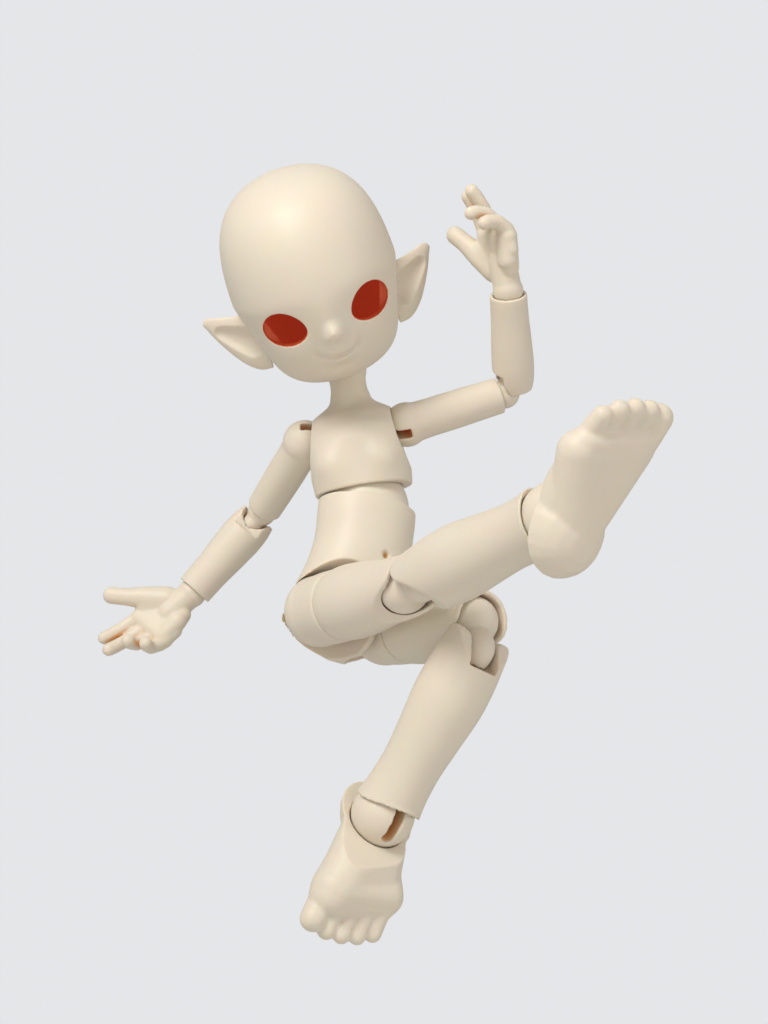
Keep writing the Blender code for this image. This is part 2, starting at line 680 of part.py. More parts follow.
def make_pelvis(joint):
    """The belly and hips in one piece, with the waist ball on top and a socket for each thigh."""
    top = WAIST_RISE + BELLY_RIM_RISE
    rows = [(top - along * (top + CROTCH_DROP), wide * HIP_WIDTH, deep * HIP_DEPTH, -ahead * HIP_DEPTH)
            for along, wide, deep, ahead in smooth(PELVIS_SHARES, 14)]
    pelvis = object_of("pelvis", skin("pelvis", rows, sides=TRUNK_SIDES, power=2.15), joint)
    join(pelvis, ball("waist_ball", WAIST_BALL_RADIUS, (0, 0, WAIST_RISE), sides=TRUNK_SIDES))
    half = HIP_APART / 2
    dome = WAIST_RISE + WAIST_BALL_RADIUS
    crossing = Vector((0, 0, CORD_CROSSING_RISE))
    flare = WAIST_BALL_RADIUS * 0.42
    cut(pelvis, rod("torso_bore", CORD_BORE_RADIUS, (0, 0, CORD_CROSSING_RISE - CORD_RADIUS), (0, 0, dome + OVERRUN)),
        rod("waist_flare", CORD_BORE_RADIUS, (0, 0, WAIST_RISE - CORD_RADIUS), (0, 0, dome), flare))
    for side, word in ((1, "left"), (-1, "right")):
        hip = Vector((side * half, 0, 0))
        sweep = [(THIGH_RADIUS + GAP, tuple(hip + Vector(p)))
                 for fold in (HIP_FOLD, HIP_FOLD / 2, HIP_FOLD / 8, 0)
                 for p in turned([(0, 0, -2 * HIP_BALL_RADIUS)], -fold)]
        hollow = socket(f"{word}_hip_socket", HIP_BALL_RADIUS + GAP, hip, sides=TRUNK_SIDES)
        path = hull(f"{word}_thigh_path", (THIGH_RADIUS + GAP, tuple(hip)), *sweep, sides=LEG_SIDES, outside=True)
        cut(pelvis, one_side(hollow, side * CROTCH_WALL / 2), one_side(path, side * CROTCH_WALL / 2))
        cut(pelvis, rod(f"{word}_hip_bore", CORD_BORE_RADIUS, (side * half * 0.8, 0, HIP_BALL_RADIUS * 0.8),
                        crossing + Vector((0, 0, side * CORD_RADIUS / 4))))
    cut(pelvis, ball("navel", FINGER_RADIUS * 0.7, (0, -HIP_DEPTH * 0.46, WAIST_RISE / 2), sides=12))
    return pelvis


# Arms

def make_upper_arm(name, joint):
    length, radius = UPPER_ARM_LENGTH, UPPER_ARM_RADIUS
    start = SHOULDER_BALL_RADIUS * math.cos(math.radians(118))
    waist = SHOULDER_BALL_RADIUS * math.sin(math.radians(118))
    end = -(length - UPPER_ARM_RIM_RISE)
    shape = ((start, waist), (0.22 * end, radius * 0.985), (0.45 * end, radius * 0.99),
             (0.75 * end, radius * 1.0), (end, radius * 0.975))
    keys = [(-z, z, r) for z, r in shape]
    rows = ball_stations(SHOULDER_BALL_RADIUS, 18, 108, 6)
    rows += [(z, r, r, 0.0) for _, z, r in smooth(keys, 5)]
    arm = object_of(name, skin(name, rows, top=SHOULDER_BALL_RADIUS), joint)
    cut(arm, socket(name + "_cup", ELBOW_BALL_RADIUS + GAP, (0, 0, -length)),
        rod(name + "_bore", CORD_BORE_RADIUS, (0, 0, 0), (0, 0, -length)))
    return arm


def peanut(name, joint, ball_radius, lobe_radius, lobe_half_width, span):
    """A ball above a flattened lobe, grown into one: a loft through the larger of the two at each height."""
    half = (ball_radius + span + lobe_radius) / 2
    rows = []
    for turn in np.linspace(0, math.pi, 15)[1:-1]:
        z = ball_radius - half + half * math.cos(turn)
        above = ball_radius * math.sqrt(max(0, 1 - (z / ball_radius) ** 2))
        below = math.sqrt(max(0, 1 - ((z + span) / lobe_radius) ** 2))
        neck = lobe_half_width * 0.94 if -span < z < 0 else 0
        rows.append((z, max(above, neck, lobe_half_width * below), max(above, neck, lobe_radius * below), 0.0))
    return object_of(name, skin(name, rows, top=ball_radius, bottom=-span - lobe_radius), joint)


def make_elbow(name, joint):
    elbow = peanut(name, joint, ELBOW_BALL_RADIUS, ELBOW_LOBE_RADIUS, ELBOW_LOBE_HALF_WIDTH, ELBOW_SPAN)
    width = SLOT_HALF_WIDTH * 0.8
    reach = ELBOW_BALL_RADIUS + OVERRUN
    bottom = -ELBOW_SPAN
    for word, middle, way in (("upper", 0, 1), ("lower", bottom, -1)):
        swing = np.radians(np.linspace(0, ELBOW_FOLD, 5))
        outline = [(-reach * math.sin(a), middle + way * reach * math.cos(a)) for a in swing]
        cut(elbow, extruded(f"{name}_{word}_slot", [*outline, (width, middle)], width))
    return elbow


FOREARM_TOP_SHARES = (
    # back and up from the elbow's lower pivot, by the forearm's half depth: full ears, low in front
    (1.40, 0.470), (-0.62, 0.470), (-0.70, 0.30), (-0.70, -0.47), (-1.20, -0.57), (-1.20, 2.00), (1.40, 2.00),
)


def make_forearm(name, joint):
    length = FOREARM_LENGTH
    wide, deep = FOREARM_WIDTH / 2, FOREARM_DEPTH / 2
    end = -(length - WRIST_RIM_RISE)
    keys = ((-FOREARM_EAR, 0.86, 0.86), (0.0, 0.95, 0.96), (0.12 * -end, 1.0, 1.0), (0.40 * -end, 0.96, 0.98),
            (0.75 * -end, 0.86, 0.90), (-end, 0.84, 0.88))
    rows = [(-drop, wide * a, deep * b, 0.0) for drop, a, b in smooth(keys, 9)]
    arm = object_of(name, skin(name, rows, sides=SIDES + 2), joint)
    knuckles = [(ELBOW_BALL_RADIUS + GAP, turned([(0, 0, ELBOW_SPAN)], fold)[0])
                for fold in (0, ELBOW_FOLD / 2, ELBOW_FOLD)]
    clear = ELBOW_LOBE_HALF_WIDTH + GAP
    sides = clear / (ELBOW_LOBE_RADIUS + GAP)
    outline = [(y * deep, z * deep) for y, z in FOREARM_TOP_SHARES]
    cut(arm, extruded(name + "_fold", outline, 2 * wide),
        hull(name + "_knuckle_path", *knuckles, outside=True),
        socket(name + "_cleft", ELBOW_LOBE_RADIUS + GAP, stretch=(sides, 1, 1)),
        extruded(name + "_mouth", [(-deep / 2, 0), (deep / 2, 0), (deep / 2, 2 * deep), (-deep / 2, 2 * deep)], clear),
        socket(name + "_cup", WRIST_BALL_RADIUS + GAP, (0, 0, -length)),
        rod(name + "_bore", CORD_BORE_RADIUS, (0, 0, 0), (0, 0, -length)))
    return arm


FINGERS_SHARES = (
    # across by palm width, start by palm length, length by palm length, three curls, splay
    (0.370, 0.950, 0.660, 8, 8, 6, 5),
    (0.125, 1.000, 0.700, 12, 12, 8, 1),
    (-0.125, 0.970, 0.660, 38, 32, 20, -1),
    (-0.355, 0.890, 0.560, 44, 36, 22, -5),
)
PHALANX_SHARES = (0.41, 0.31, 0.28)
THUMB_SHARES = (
    # across by palm width, palm side by palm thickness, down by palm length, radius
    (0.20, 0.06, 0.30, 1.50),
    (0.50, 0.28, 0.56, 1.34),
    (0.76, 0.48, 0.80, 1.00),
    (0.98, 0.62, 0.98, 1.08),
)


def finger_parts(side):
    for across, start, length, *curls, splay in FINGERS_SHARES:
        place = Vector((side * across * PALM_WIDTH, 0, -start * PALM_LENGTH))
        turn = Matrix.Rotation(math.radians(-side * splay), 3, "Y")
        radius = FINGER_RADIUS * 1.08
        chain = [(radius, place - Vector((0, 0, -0.3 * PALM_LENGTH)))]
        chain.append((radius, place.copy()))
        for share, curl in zip(PHALANX_SHARES, curls):
            turn = turn @ Matrix.Rotation(math.radians(-curl), 3, "X")
            place = place + turn @ Vector((0, 0, -share * length * PALM_LENGTH))
            chain.append((FINGER_RADIUS, place.copy()))
        radius, tip = chain[-1]
        chain[-1] = (radius, tip - turn @ Vector((0, 0, -radius * 0.8)))
        yield from ([first, second] for first, second in zip(chain, chain[1:]))


def hand_parts(side):
    """Pairs and groups of balls whose hulls make the palm, the thumb and the four fingers."""
    wide, thick, length = PALM_WIDTH / 2, PALM_THICK / 2, PALM_LENGTH
    edge = thick * 0.82
    wrist = WRIST_BALL_RADIUS * 0.80
    yield [(wrist, (0, 0, -0.10 * length)), (wrist * 0.9, (0, 0, -0.45 * length))]
    yield [(edge, (side * (wide - edge), 0, -0.86 * length)), (edge, (-side * (wide - edge), 0, -0.80 * length)),
           (edge, (side * wide * 0.35, 0, -0.34 * length)), (edge, (-side * wide * 0.40, 0, -0.34 * length))]
    yield [(edge * 1.05, (-side * wide * 0.52, -thick * 0.25, -0.45 * length)),
           (edge * 0.9, (-side * wide * 0.58, -thick * 0.2, -0.78 * length))]
    chain = [(THUMB_RADIUS * r, (side * x * PALM_WIDTH, -y * PALM_THICK, -z * PALM_LENGTH))
             for x, y, z, r in THUMB_SHARES]
    yield from ([first, second] for first, second in zip(chain, chain[1:]))
    yield from finger_parts(side)


def make_hand(name, joint, side):
    hand = object_of(name, blended(name, hand_parts(side), HAND_VOXEL, 3, 0.058), joint)
    join(hand, ball(name + "_ball", WRIST_BALL_RADIUS))
    room = HAND_HOOK_DEPTH + GAP
    cut(hand, rod(name + "_bore", room * 0.8, (0, 0, 0), (0, 0, OVERRUN + WRIST_BALL_RADIUS), room * 1.5),
        ball(name + "_hook_room", room, (0, 0, 0), sides=12))
    return hand


# Legs

def make_thigh_upper(name, joint):
    rows = ball_stations(HIP_BALL_RADIUS, 16, 100, 7)
    rows += [(-THIGH_SEAM_DROP * 0.55, THIGH_RADIUS * 1.005, THIGH_RADIUS * 1.005, 0.0),
             (-THIGH_SEAM_DROP * 0.93, THIGH_RADIUS, THIGH_RADIUS, 0.0),
             (-THIGH_SEAM_DROP, THIGH_RADIUS * 0.975, THIGH_RADIUS * 0.975, 0.0)]
    thigh = object_of(name, skin(name, rows, sides=LEG_SIDES, top=HIP_BALL_RADIUS), joint)
    cut(thigh, rod(name + "_peg_hole", THIGH_PEG_RADIUS + GAP, (0, 0, -THIGH_SEAM_DROP + THIGH_PEG_LENGTH + GAP),
            (0, 0, -THIGH_SEAM_DROP - OVERRUN)),
        rod(name + "_bore", CORD_BORE_RADIUS, (0, 0, 0), (0, 0, -THIGH_SEAM_DROP)))
    cord_slot(thigh, HIP_BALL_RADIUS, -8, 112)
    return thigh


def make_thigh_lower(name, joint):
    """Below the thigh's own turning seam, down to the knee cup. Its frame is at the knee pivot."""
    top = THIGH_LENGTH - THIGH_SEAM_DROP - GAP
    nose = KNEE_SPAN / 2 - GAP
    full, end = THIGH_RADIUS, THIGH_END_RADIUS
    keys = ((-top, full * 0.975), (-0.95 * top, full), (-0.6 * top, full * 0.99), (-0.25 * top, end * 1.03),
            (nose + GAP, end * 0.99))
    rows = [(-drop, r, r, 0.0) for drop, r in smooth(keys, 7)]
    thigh = object_of(name, skin(name, rows, sides=LEG_SIDES), joint)
    join(thigh, rod(name + "_peg", THIGH_PEG_RADIUS, (0, 0, top - THIGH_PEG_LENGTH), (0, 0, top + THIGH_PEG_LENGTH)))
    hollow = KNEE_BALL_RADIUS + GAP
    lobes = [(KNEE_LOBE_RADIUS + GAP, turned([(0, 0, -KNEE_SPAN)], fold)[0])
             for fold in np.linspace(-KNEE_BACKWARD, KNEE_FOLD, 5)]
    cut(thigh, nose_end(name + "_fold", nose, 0, KNEE_FOLD, 2 * full, -1),
        socket(name + "_cup", hollow, sides=LEG_SIDES), hull(name + "_lobe_path", *lobes, outside=True),
        rod(name + "_mouth", hollow, (0, 0, 0), (0, 0, -KNEE_SPAN), sides=LEG_SIDES),
        rod(name + "_bore", CORD_BORE_RADIUS, (0, 0, 0), (0, 0, top + THIGH_PEG_LENGTH + OVERRUN)))
    return thigh


def make_knee(name, joint):
    knee = peanut(name, joint, KNEE_BALL_RADIUS, KNEE_LOBE_RADIUS, KNEE_LOBE_HALF_WIDTH, KNEE_SPAN)
    width = SLOT_HALF_WIDTH
    reach = KNEE_BALL_RADIUS + OVERRUN
    for word, middle, way in (("upper", 0, 1), ("lower", -KNEE_SPAN, -1)):
        swing = np.radians(np.linspace(0, KNEE_FOLD, 5))
        outline = [(reach * math.sin(a), middle + way * reach * math.cos(a)) for a in swing]
        cut(knee, extruded(f"{name}_{word}_slot", [*outline, (-width, middle)], width))
    return knee


def make_shin(name, joint):
    length = SHIN_LENGTH
    nose = KNEE_SPAN / 2 - GAP
    end = length - ANKLE_RIM_RISE
    full = SHIN_RADIUS
    keys = ((-nose - GAP, 0.90), (0.0, 0.915), (0.12 * end, 0.93), (0.32 * end, 1.0), (0.55 * end, 1.0), (0.80 * end, 0.965),
            (end, 0.965))
    rows = [(-drop, full * r, full * r, -full * 0.05 * math.sin(math.pi * np.clip(drop / end, 0, 1)))
            for drop, r in smooth(keys, 10)]

    def scooped(points):
        if points[0, 2] <= -end + WELD:
            front = np.clip(-points[:, 1] / full, 0, 1)
            points[:, 2] += ANKLE_RIM_SCOOP * front**2
        return points

    shin = object_of(name, skin(name, rows, sides=LEG_SIDES, shape=scooped), joint)
    knuckles = [(KNEE_BALL_RADIUS + GAP, turned([(0, 0, KNEE_SPAN)], -fold)[0])
                for fold in np.linspace(-KNEE_BACKWARD, KNEE_FOLD, 5)]
    clear = KNEE_LOBE_HALF_WIDTH + GAP
    stems = [(clear, turned([(0, 0, KNEE_SPAN / 2)], -fold)[0]) for fold in np.linspace(0, KNEE_FOLD, 5)]
    sides = clear / (KNEE_LOBE_RADIUS + GAP)
    mouth = KNEE_LOBE_RADIUS + GAP
    front = [(0, 0), (0, 2 * mouth), (-2 * mouth, 2 * mouth), (-2 * mouth, -mouth * 0.35), (-mouth * 0.6, -mouth * 0.5)]
    cut(shin, nose_end(name + "_fold", nose, KNEE_FRONT, KNEE_FOLD, 2 * full, 1),
        hull(name + "_knuckle_path", *knuckles, outside=True), hull(name + "_stem_path", *stems, outside=True),
        socket(name + "_cleft", mouth, stretch=(sides, 1, 1)),
        extruded(name + "_mouth", front, clear * 0.9),
        socket(name + "_cup", ANKLE_BALL_RADIUS + GAP, (0, 0, -length), sides=LEG_SIDES),
        rod(name + "_bore", CORD_BORE_RADIUS, (0, 0, 0), (0, 0, -length)))
    return shin


def make_ankle(name, joint):
    ankle = object_of(name, ball(name, ANKLE_BALL_RADIUS, sides=LEG_SIDES), joint)
    cord_slot(ankle, ANKLE_BALL_RADIUS, -60, 72)
    cut(ankle, rod(name + "_hook_hole", 1.6 * CORD_BORE_RADIUS, (0, 0, 0), (0, 0, -ANKLE_BALL_RADIUS - OVERRUN)))
    return ankle


TOES_SHARES = (
    # across by half width, start and tip forward by foot length, radius by toe radius
    (0.38, 0.56, 0.725, 1.0),
    (0.00, 0.56, 0.715, 1.0),
    (-0.36, 0.54, 0.680, 1.0),
    (-0.72, 0.50, 0.625, 1.02),
)


def foot_parts(side):
    """Groups of balls whose hulls make the heel, the instep and five toes. The big toe is inboard."""
    half, length = FOOT_WIDTH / 2, FOOT_LENGTH
    inboard = -side
    floor = -SOLE_DROP
    heel, tread = half * 0.80, half * 0.50
    ankle = ANKLE_BALL_RADIUS * 1.10
    yield [(heel, (0, 0.075 * length, floor + heel)), (heel * 0.94, (0, 0.02 * length, floor + heel * 1.25))]
    yield [(ankle, (0, 0.0, -ANKLE_BALL_RADIUS * 0.22)), (heel, (0, 0.05 * length, floor + heel))]
    yield [(ankle * 0.93, (0, 0, -ANKLE_BALL_RADIUS * 0.30)),
           (tread * 0.98, (inboard * half * 0.42, -0.50 * length, floor + tread)),
           (tread * 0.72, (-inboard * half * 0.55, -0.42 * length, floor + tread * 0.72))]
    yield [(heel * 0.6, (0, 0, floor + heel * 0.6)), (tread, (inboard * half * 0.46, -0.50 * length, floor + tread)),
           (tread * 0.76, (-inboard * half * 0.60, -0.40 * length, floor + tread * 0.76))]
    yield [(tread * 0.90, (inboard * half * 0.50, -0.54 * length, floor + tread * 0.92)),
           (tread * 0.66, (-inboard * half * 0.62, -0.45 * length, floor + tread * 0.68))]
    toe = BIG_TOE_RADIUS
    yield [(toe * 1.02, (inboard * half * 0.62, -0.56 * length, floor + toe * 1.15)),
           (toe, (inboard * half * 0.70, -0.695 * length, floor + toe * 1.02))]
    for across, start, tip, radius in TOES_SHARES:
        r = TOE_RADIUS * radius
        yield [(r * 1.1, (inboard * across * half, -start * length, floor + r * 1.9)),
               (r, (inboard * across * half, -tip * length, floor + r))]


def make_foot(name, joint, side):
    foot = object_of(name, blended(name, foot_parts(side), FOOT_VOXEL, 4, 0.065), joint)
    reach = FOOT_LENGTH
    lean = Matrix.Rotation(math.radians(-FOOT_RIM_LEAN), 4, "X")
    cut(foot, block(name + "_rim", (-reach, -reach, -FOOT_RIM_DROP), (reach, reach, reach), lean),
        socket(name + "_cup", ANKLE_BALL_RADIUS + GAP, sides=LEG_SIDES),
        block(name + "_sole", (-reach, -reach, -SOLE_DROP - reach), (reach, reach, -SOLE_DROP + GAP)),
        rod(name + "_hook_hole", 1.6 * CORD_BORE_RADIUS, (0, 0, 0), (0, 0, -SOLE_DROP + WALL)))
    return foot


# Cords and hooks inside

HOOK_LOOP_SHARES = (
    # across and inward from the loop's end, by the loop's half width
    (-1.00, 1.55), (-1.00, 0.90), (-0.68, 0.28), (0.00, 0.00), (0.68, 0.28), (0.92, 0.95), (0.60, 1.75),
)


def s_hook(name, joint, top, bottom, top_width, bottom_width, across):
    """An S hook of wire: an open loop at each end, both in the plane of the across axis and Z."""
    route = [(u * top_width, top - v * top_width) for u, v in HOOK_LOOP_SHARES]
    route += [(-u * bottom_width, bottom + v * bottom_width) for u, v in HOOK_LOOP_SHARES[::-1]]
    places = [(u * across[0], u * across[1], z) for u, z in route]
    return bent_rod(name, joint, WIRE_RADIUS, places, STEEL, 0.3, 1.0)


def make_torso_cords(pelvis, waist_cord, waist_upper, chest, neck_cord, neck_hook):
    half = HIP_APART / 2
    ends = HIP_BALL_RADIUS + 2 * GAP + CORD_RADIUS
    start = Vector((half * 0.8, 0, HIP_BALL_RADIUS * 0.8))
    apex = Vector((0, 0, CORD_CROSSING_RISE))
    along = (apex - start).normalized()
    first = start
    while (first - Vector((half, 0, 0))).length < ends:
        first = first + along * GAP
    route = [first, first.lerp(apex, 0.5), apex - Vector((0, 0, CORD_RADIUS / 2))]
    route += [Vector((-p.x, 0, p.z)) for p in route[1::-1]]
    bent_rod("hip_loop_cord", pelvis, CORD_RADIUS, [tuple(p) for p in route], ELASTIC, 0.7)
    above_loop = CORD_CROSSING_RISE + 2 * CORD_RADIUS + GAP
    capsule("waist_cord_lower", waist_cord, CORD_RADIUS, (0, 0, above_loop - WAIST_RISE), (0, 0, -2 * CORD_RADIUS))
    capsule("waist_cord_upper", waist_upper, CORD_RADIUS, (0, 0, GAP), (0, 0, WAIST_BALL_RADIUS - CORD_RADIUS - GAP))
    capsule("neck_cord", neck_cord, CORD_RADIUS, (0, 0, WAIST_BALL_RADIUS - NECK_RISE + 2 * CORD_RADIUS),
            (0, 0, -HOOK_ROOM_RADIUS - CORD_RADIUS))
    rest = NECK_BOSS_RADIUS + GAP + WIRE_RADIUS
    lean = math.asin(NECK_HOOK_WIDTH / rest)
    tip = rest * math.cos(lean)
    width = HOOK_LOOP_WIDTH
    arch = [(-NECK_HOOK_WIDTH, tip), (-NECK_HOOK_WIDTH * 0.92, tip + width), (-NECK_HOOK_WIDTH * 0.6, tip + 1.7 * width),
            (-NECK_HOOK_WIDTH * 0.25, tip + 1.4 * width), (0, tip), (0, 1.4 * width)]
    arch += [(-u * width, (v - 1.6) * width) for u, v in HOOK_LOOP_SHARES[::-1]]
    bent_rod("neck_hook", neck_hook, WIRE_RADIUS, [(x, 0, z) for x, z in arch], STEEL, 0.3, 1.0)
    reach = SHOULDER_APART / 2 - SHOULDER_BALL_RADIUS - GAP - CORD_RADIUS
    back = 2 * CORD_RADIUS + 2 * GAP
    rise = SHOULDER_RISE
    route = [(-reach, 0, rise), (-reach * 0.72, 0, rise), (-reach * 0.4, back * 0.8, rise), (0, back, rise),
             (reach * 0.4, back * 0.8, rise), (reach * 0.72, 0, rise), (reach, 0, rise)]
    bent_rod("arm_span_cord", chest, CORD_RADIUS, route, ELASTIC, 0.7)


X, Y, Z = (1, 0, 0), (0, 1, 0), (0, 0, 1)


def make_arm(word, side, chest, pose):
    """Frames down the arm, each turned by its joint, and the pieces that hang on them."""
    swing = frame(f"shoulder_swing_{word}", chest, (side * SHOULDER_APART / 2, 0, SHOULDER_RISE),
                  (X, -pose["swing"]))
    raised = frame(f"shoulder_raise_{word}", swing, (0, 0, 0), (Y, -side * pose["raise"]))
    twist = frame(f"elbow_turn_{word}", raised, (0, 0, -UPPER_ARM_LENGTH), (Z, pose["elbow_turn"]))
    elbow = frame(f"elbow_fold_{word}", twist, (0, 0, 0), (X, -pose["elbow"]))
    lower = frame(f"forearm_fold_{word}", elbow, (0, 0, -ELBOW_SPAN), (X, -pose["forearm"]))
    wrist = frame(f"wrist_turn_{word}", lower, (0, 0, -FOREARM_LENGTH), (Z, pose["hand_turn"]))
    bend = frame(f"wrist_bend_{word}", wrist, (0, 0, 0), (X, pose["hand_bend"]))
    hand = frame(f"wrist_side_{word}", bend, (0, 0, 0), (Y, pose["hand_side"]))
    arm = make_upper_arm(f"upper_arm_{word}", raised)
    slot = SHOULDER_BALL_RADIUS + OVERRUN
    width = SLOT_HALF_WIDTH
    sweep = np.radians(np.linspace(3, 124, 8))
    outline = [(slot * math.cos(a), slot * math.sin(a)) for a in sweep]
    sector = extruded(f"upper_arm_{word}_slot", [(-width / 2, -width / 2), *outline], width)
    sector.transform(Matrix.Rotation(side * math.pi / 2, 4, "Z"))
    cut(arm, sector, ball(f"upper_arm_{word}_slot_root", CORD_BORE_RADIUS, sides=12))
    capsule(f"shoulder_cord_{word}", swing, CORD_RADIUS, (-side * CORD_RADIUS / 2, 0, 0),
            (-side * (SHOULDER_BALL_RADIUS - CORD_RADIUS), 0, 0))
    capsule(f"arm_cord_{word}", twist, CORD_RADIUS, (0, 0, ELBOW_BALL_RADIUS + CORD_RADIUS + GAP),
            (0, 0, UPPER_ARM_LENGTH - SHOULDER_BALL_RADIUS))
    make_elbow(f"elbow_{word}", elbow)
    make_forearm(f"forearm_{word}", lower)
    capsule(f"forearm_cord_{word}", wrist, CORD_RADIUS, (0, 0, WRIST_BALL_RADIUS + CORD_RADIUS + GAP),
            (0, 0, FOREARM_LENGTH - ELBOW_LOBE_RADIUS - 2 * CORD_RADIUS))
    s_hook(f"hand_hook_{word}", bend, WRIST_BALL_RADIUS - WIRE_RADIUS - GAP, WIRE_RADIUS - HAND_HOOK_DEPTH,
           HAND_HOOK_WIDTH, HAND_HOOK_WIDTH, (0, 1))
    make_hand(f"hand_{word}", hand, side)


def make_leg(word, side, pelvis, pose):
    """Frames down the leg, each turned by its joint, and the pieces that hang on them."""
    spread = frame(f"hip_spread_{word}", pelvis, (side * HIP_APART / 2, 0, 0), (Y, -side * pose["spread"]))
    swing = frame(f"hip_swing_{word}", spread, (0, 0, 0), (X, -pose["swing"]))
    thigh = frame(f"thigh_turn_{word}", swing, (0, 0, -THIGH_LENGTH), (Z, pose["thigh_turn"]))
    knee = frame(f"knee_fold_{word}", thigh, (0, 0, 0), (X, pose["knee"]))
    shin = frame(f"shin_fold_{word}", knee, (0, 0, -KNEE_SPAN), (X, pose["shin"]))
    ankle = frame(f"ankle_fold_{word}", shin, (0, 0, -SHIN_LENGTH), (X, pose["ankle"]))
    turn = frame(f"foot_turn_{word}", ankle, (0, 0, 0), (Z, pose["foot_turn"]))
    tilt = frame(f"foot_tilt_{word}", turn, (0, 0, 0), (Y, pose["foot_tilt"]))
    capsule(f"hip_cord_{word}", spread, CORD_RADIUS, (0, 0, CORD_RADIUS / 2), (0, 0, HIP_BALL_RADIUS - CORD_RADIUS))
    make_thigh_upper(f"thigh_upper_{word}", swing)
    make_thigh_lower(f"thigh_lower_{word}", thigh)
    capsule(f"thigh_cord_{word}", thigh, CORD_RADIUS, (0, 0, KNEE_BALL_RADIUS + CORD_RADIUS + GAP),
            (0, 0, THIGH_LENGTH - THIGH_SEAM_DROP))
    make_knee(f"knee_{word}", knee)
    make_shin(f"shin_{word}", shin)
    capsule(f"shin_cord_{word}", shin, CORD_RADIUS, (0, 0, -KNEE_LOBE_RADIUS - CORD_RADIUS - GAP),
            (0, 0, ANKLE_BALL_RADIUS + CORD_RADIUS + GAP - SHIN_LENGTH))
    make_ankle(f"ankle_{word}", ankle)
    rest = SOLE_DROP - WALL - GAP - WIRE_RADIUS
    bent_rod(f"foot_hook_{word}", turn, WIRE_RADIUS, [(0, 0, 0), (0, 0, -rest * 0.6), (0, 0, -rest)], STEEL, 0.3, 1.0)
    make_foot(f"foot_{word}", tilt, side)


def main():
    clear_scene()
    pelvis = frame("pelvis_frame", None, (0, 0, 0))
    make_pelvis(pelvis)
    waist_turn = frame("waist_turn", pelvis, (0, 0, WAIST_RISE), (Z, WAIST_POSE["turn"]))
    waist_tilt = frame("waist_tilt", waist_turn, (0, 0, 0), (Y, WAIST_POSE["tilt"]))
    chest = frame("waist_bend", waist_tilt, (0, 0, 0), (X, WAIST_POSE["bend"]))
    make_chest(chest)
    neck_turn = frame("neck_turn", chest, (0, 0, NECK_RISE), (Z, HEAD_POSE["turn"]))
    neck_tilt = frame("neck_tilt", neck_turn, (0, 0, 0), (Y, HEAD_POSE["tilt"]))
    neck_nod = frame("neck_nod", neck_tilt, (0, 0, 0), (X, HEAD_POSE["nod"]))
    head = frame("head_middle", neck_nod, (0, -HEAD_FORWARD, HEAD_RISE))
    make_head(head)
    make_torso_cords(pelvis, waist_turn, waist_tilt, chest, neck_turn, neck_tilt)
    make_arm("right", -1, chest, RIGHT_ARM_POSE)
    make_arm("left", 1, chest, LEFT_ARM_POSE)
    make_leg("right", -1, pelvis, RIGHT_LEG_POSE)
    make_leg("left", 1, pelvis, LEFT_LEG_POSE)
    bpy.context.view_layer.update()


main()
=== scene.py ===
"""Looks of the ball jointed doll: its castings made again with soft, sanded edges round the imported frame."""

import json
import math

import bmesh
import bpy
import numpy as np
from mathutils import Matrix, Vector
from mathutils.bvhtree import BVHTree

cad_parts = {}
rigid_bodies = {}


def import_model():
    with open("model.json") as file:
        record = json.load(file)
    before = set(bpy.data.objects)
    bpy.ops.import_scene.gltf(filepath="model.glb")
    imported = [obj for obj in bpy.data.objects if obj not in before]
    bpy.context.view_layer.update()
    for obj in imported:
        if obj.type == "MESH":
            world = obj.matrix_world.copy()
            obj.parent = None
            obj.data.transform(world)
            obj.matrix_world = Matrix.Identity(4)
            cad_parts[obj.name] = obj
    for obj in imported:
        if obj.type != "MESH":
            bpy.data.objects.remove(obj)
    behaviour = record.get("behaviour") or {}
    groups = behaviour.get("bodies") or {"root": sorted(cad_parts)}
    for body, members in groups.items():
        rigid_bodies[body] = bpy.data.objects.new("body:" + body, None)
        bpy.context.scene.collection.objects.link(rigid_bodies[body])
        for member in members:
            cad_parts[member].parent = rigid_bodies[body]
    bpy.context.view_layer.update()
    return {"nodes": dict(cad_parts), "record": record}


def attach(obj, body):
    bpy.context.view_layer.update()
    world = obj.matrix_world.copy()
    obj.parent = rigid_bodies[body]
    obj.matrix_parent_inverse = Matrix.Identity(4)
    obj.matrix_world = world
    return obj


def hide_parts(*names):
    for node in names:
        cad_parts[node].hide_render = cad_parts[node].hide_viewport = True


frame_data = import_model()

# Clearances shared by every joint
GAP = 0.0003
WALL = 0.003
OVERRUN = 0.004
WELD = 0.000002

# Elastic cord and hooks
CORD_RADIUS = 0.0011
CORD_BORE_RADIUS = 0.0018
CORD_CROSSING_RISE = 0.0185
SLOT_HALF_WIDTH = 0.0015
HOOK_ROOM_RADIUS = 0.0035
HOOK_HOLE_RADIUS = 1.8 * CORD_BORE_RADIUS
HAND_HOOK_DEPTH = 0.0019

# Head
HEAD_WIDTH = 0.0493
HEAD_DEPTH = 0.0634
HEAD_HEIGHT = 0.0641
HEAD_RISE = 0.0302
HEAD_FORWARD = 0.003
CAP_SEAM_BACK = 0.0165
CAP_SEAM_LEAN = 15.0
EYE_APART = 0.0247
EYE_DROP = 0.0070
EYE_LENGTH = 0.0119
EYE_HEIGHT = 0.0102
EYE_SLANT = 20.0
EYE_BLUNT_SHARE = 0.16
EYE_FORWARD = 0.0257
EYE_WELL_RADIUS = 0.0075
NECK_BOSS_RADIUS = 0.0093
EAR_LENGTH = 0.0151
EAR_HEIGHT = 0.0178
EAR_THICK = 0.0048
EAR_TIP_RISE = 0.0085
EAR_DROP = 0.0136
EAR_BACK = 0.0040
EAR_SEAT = 0.0012

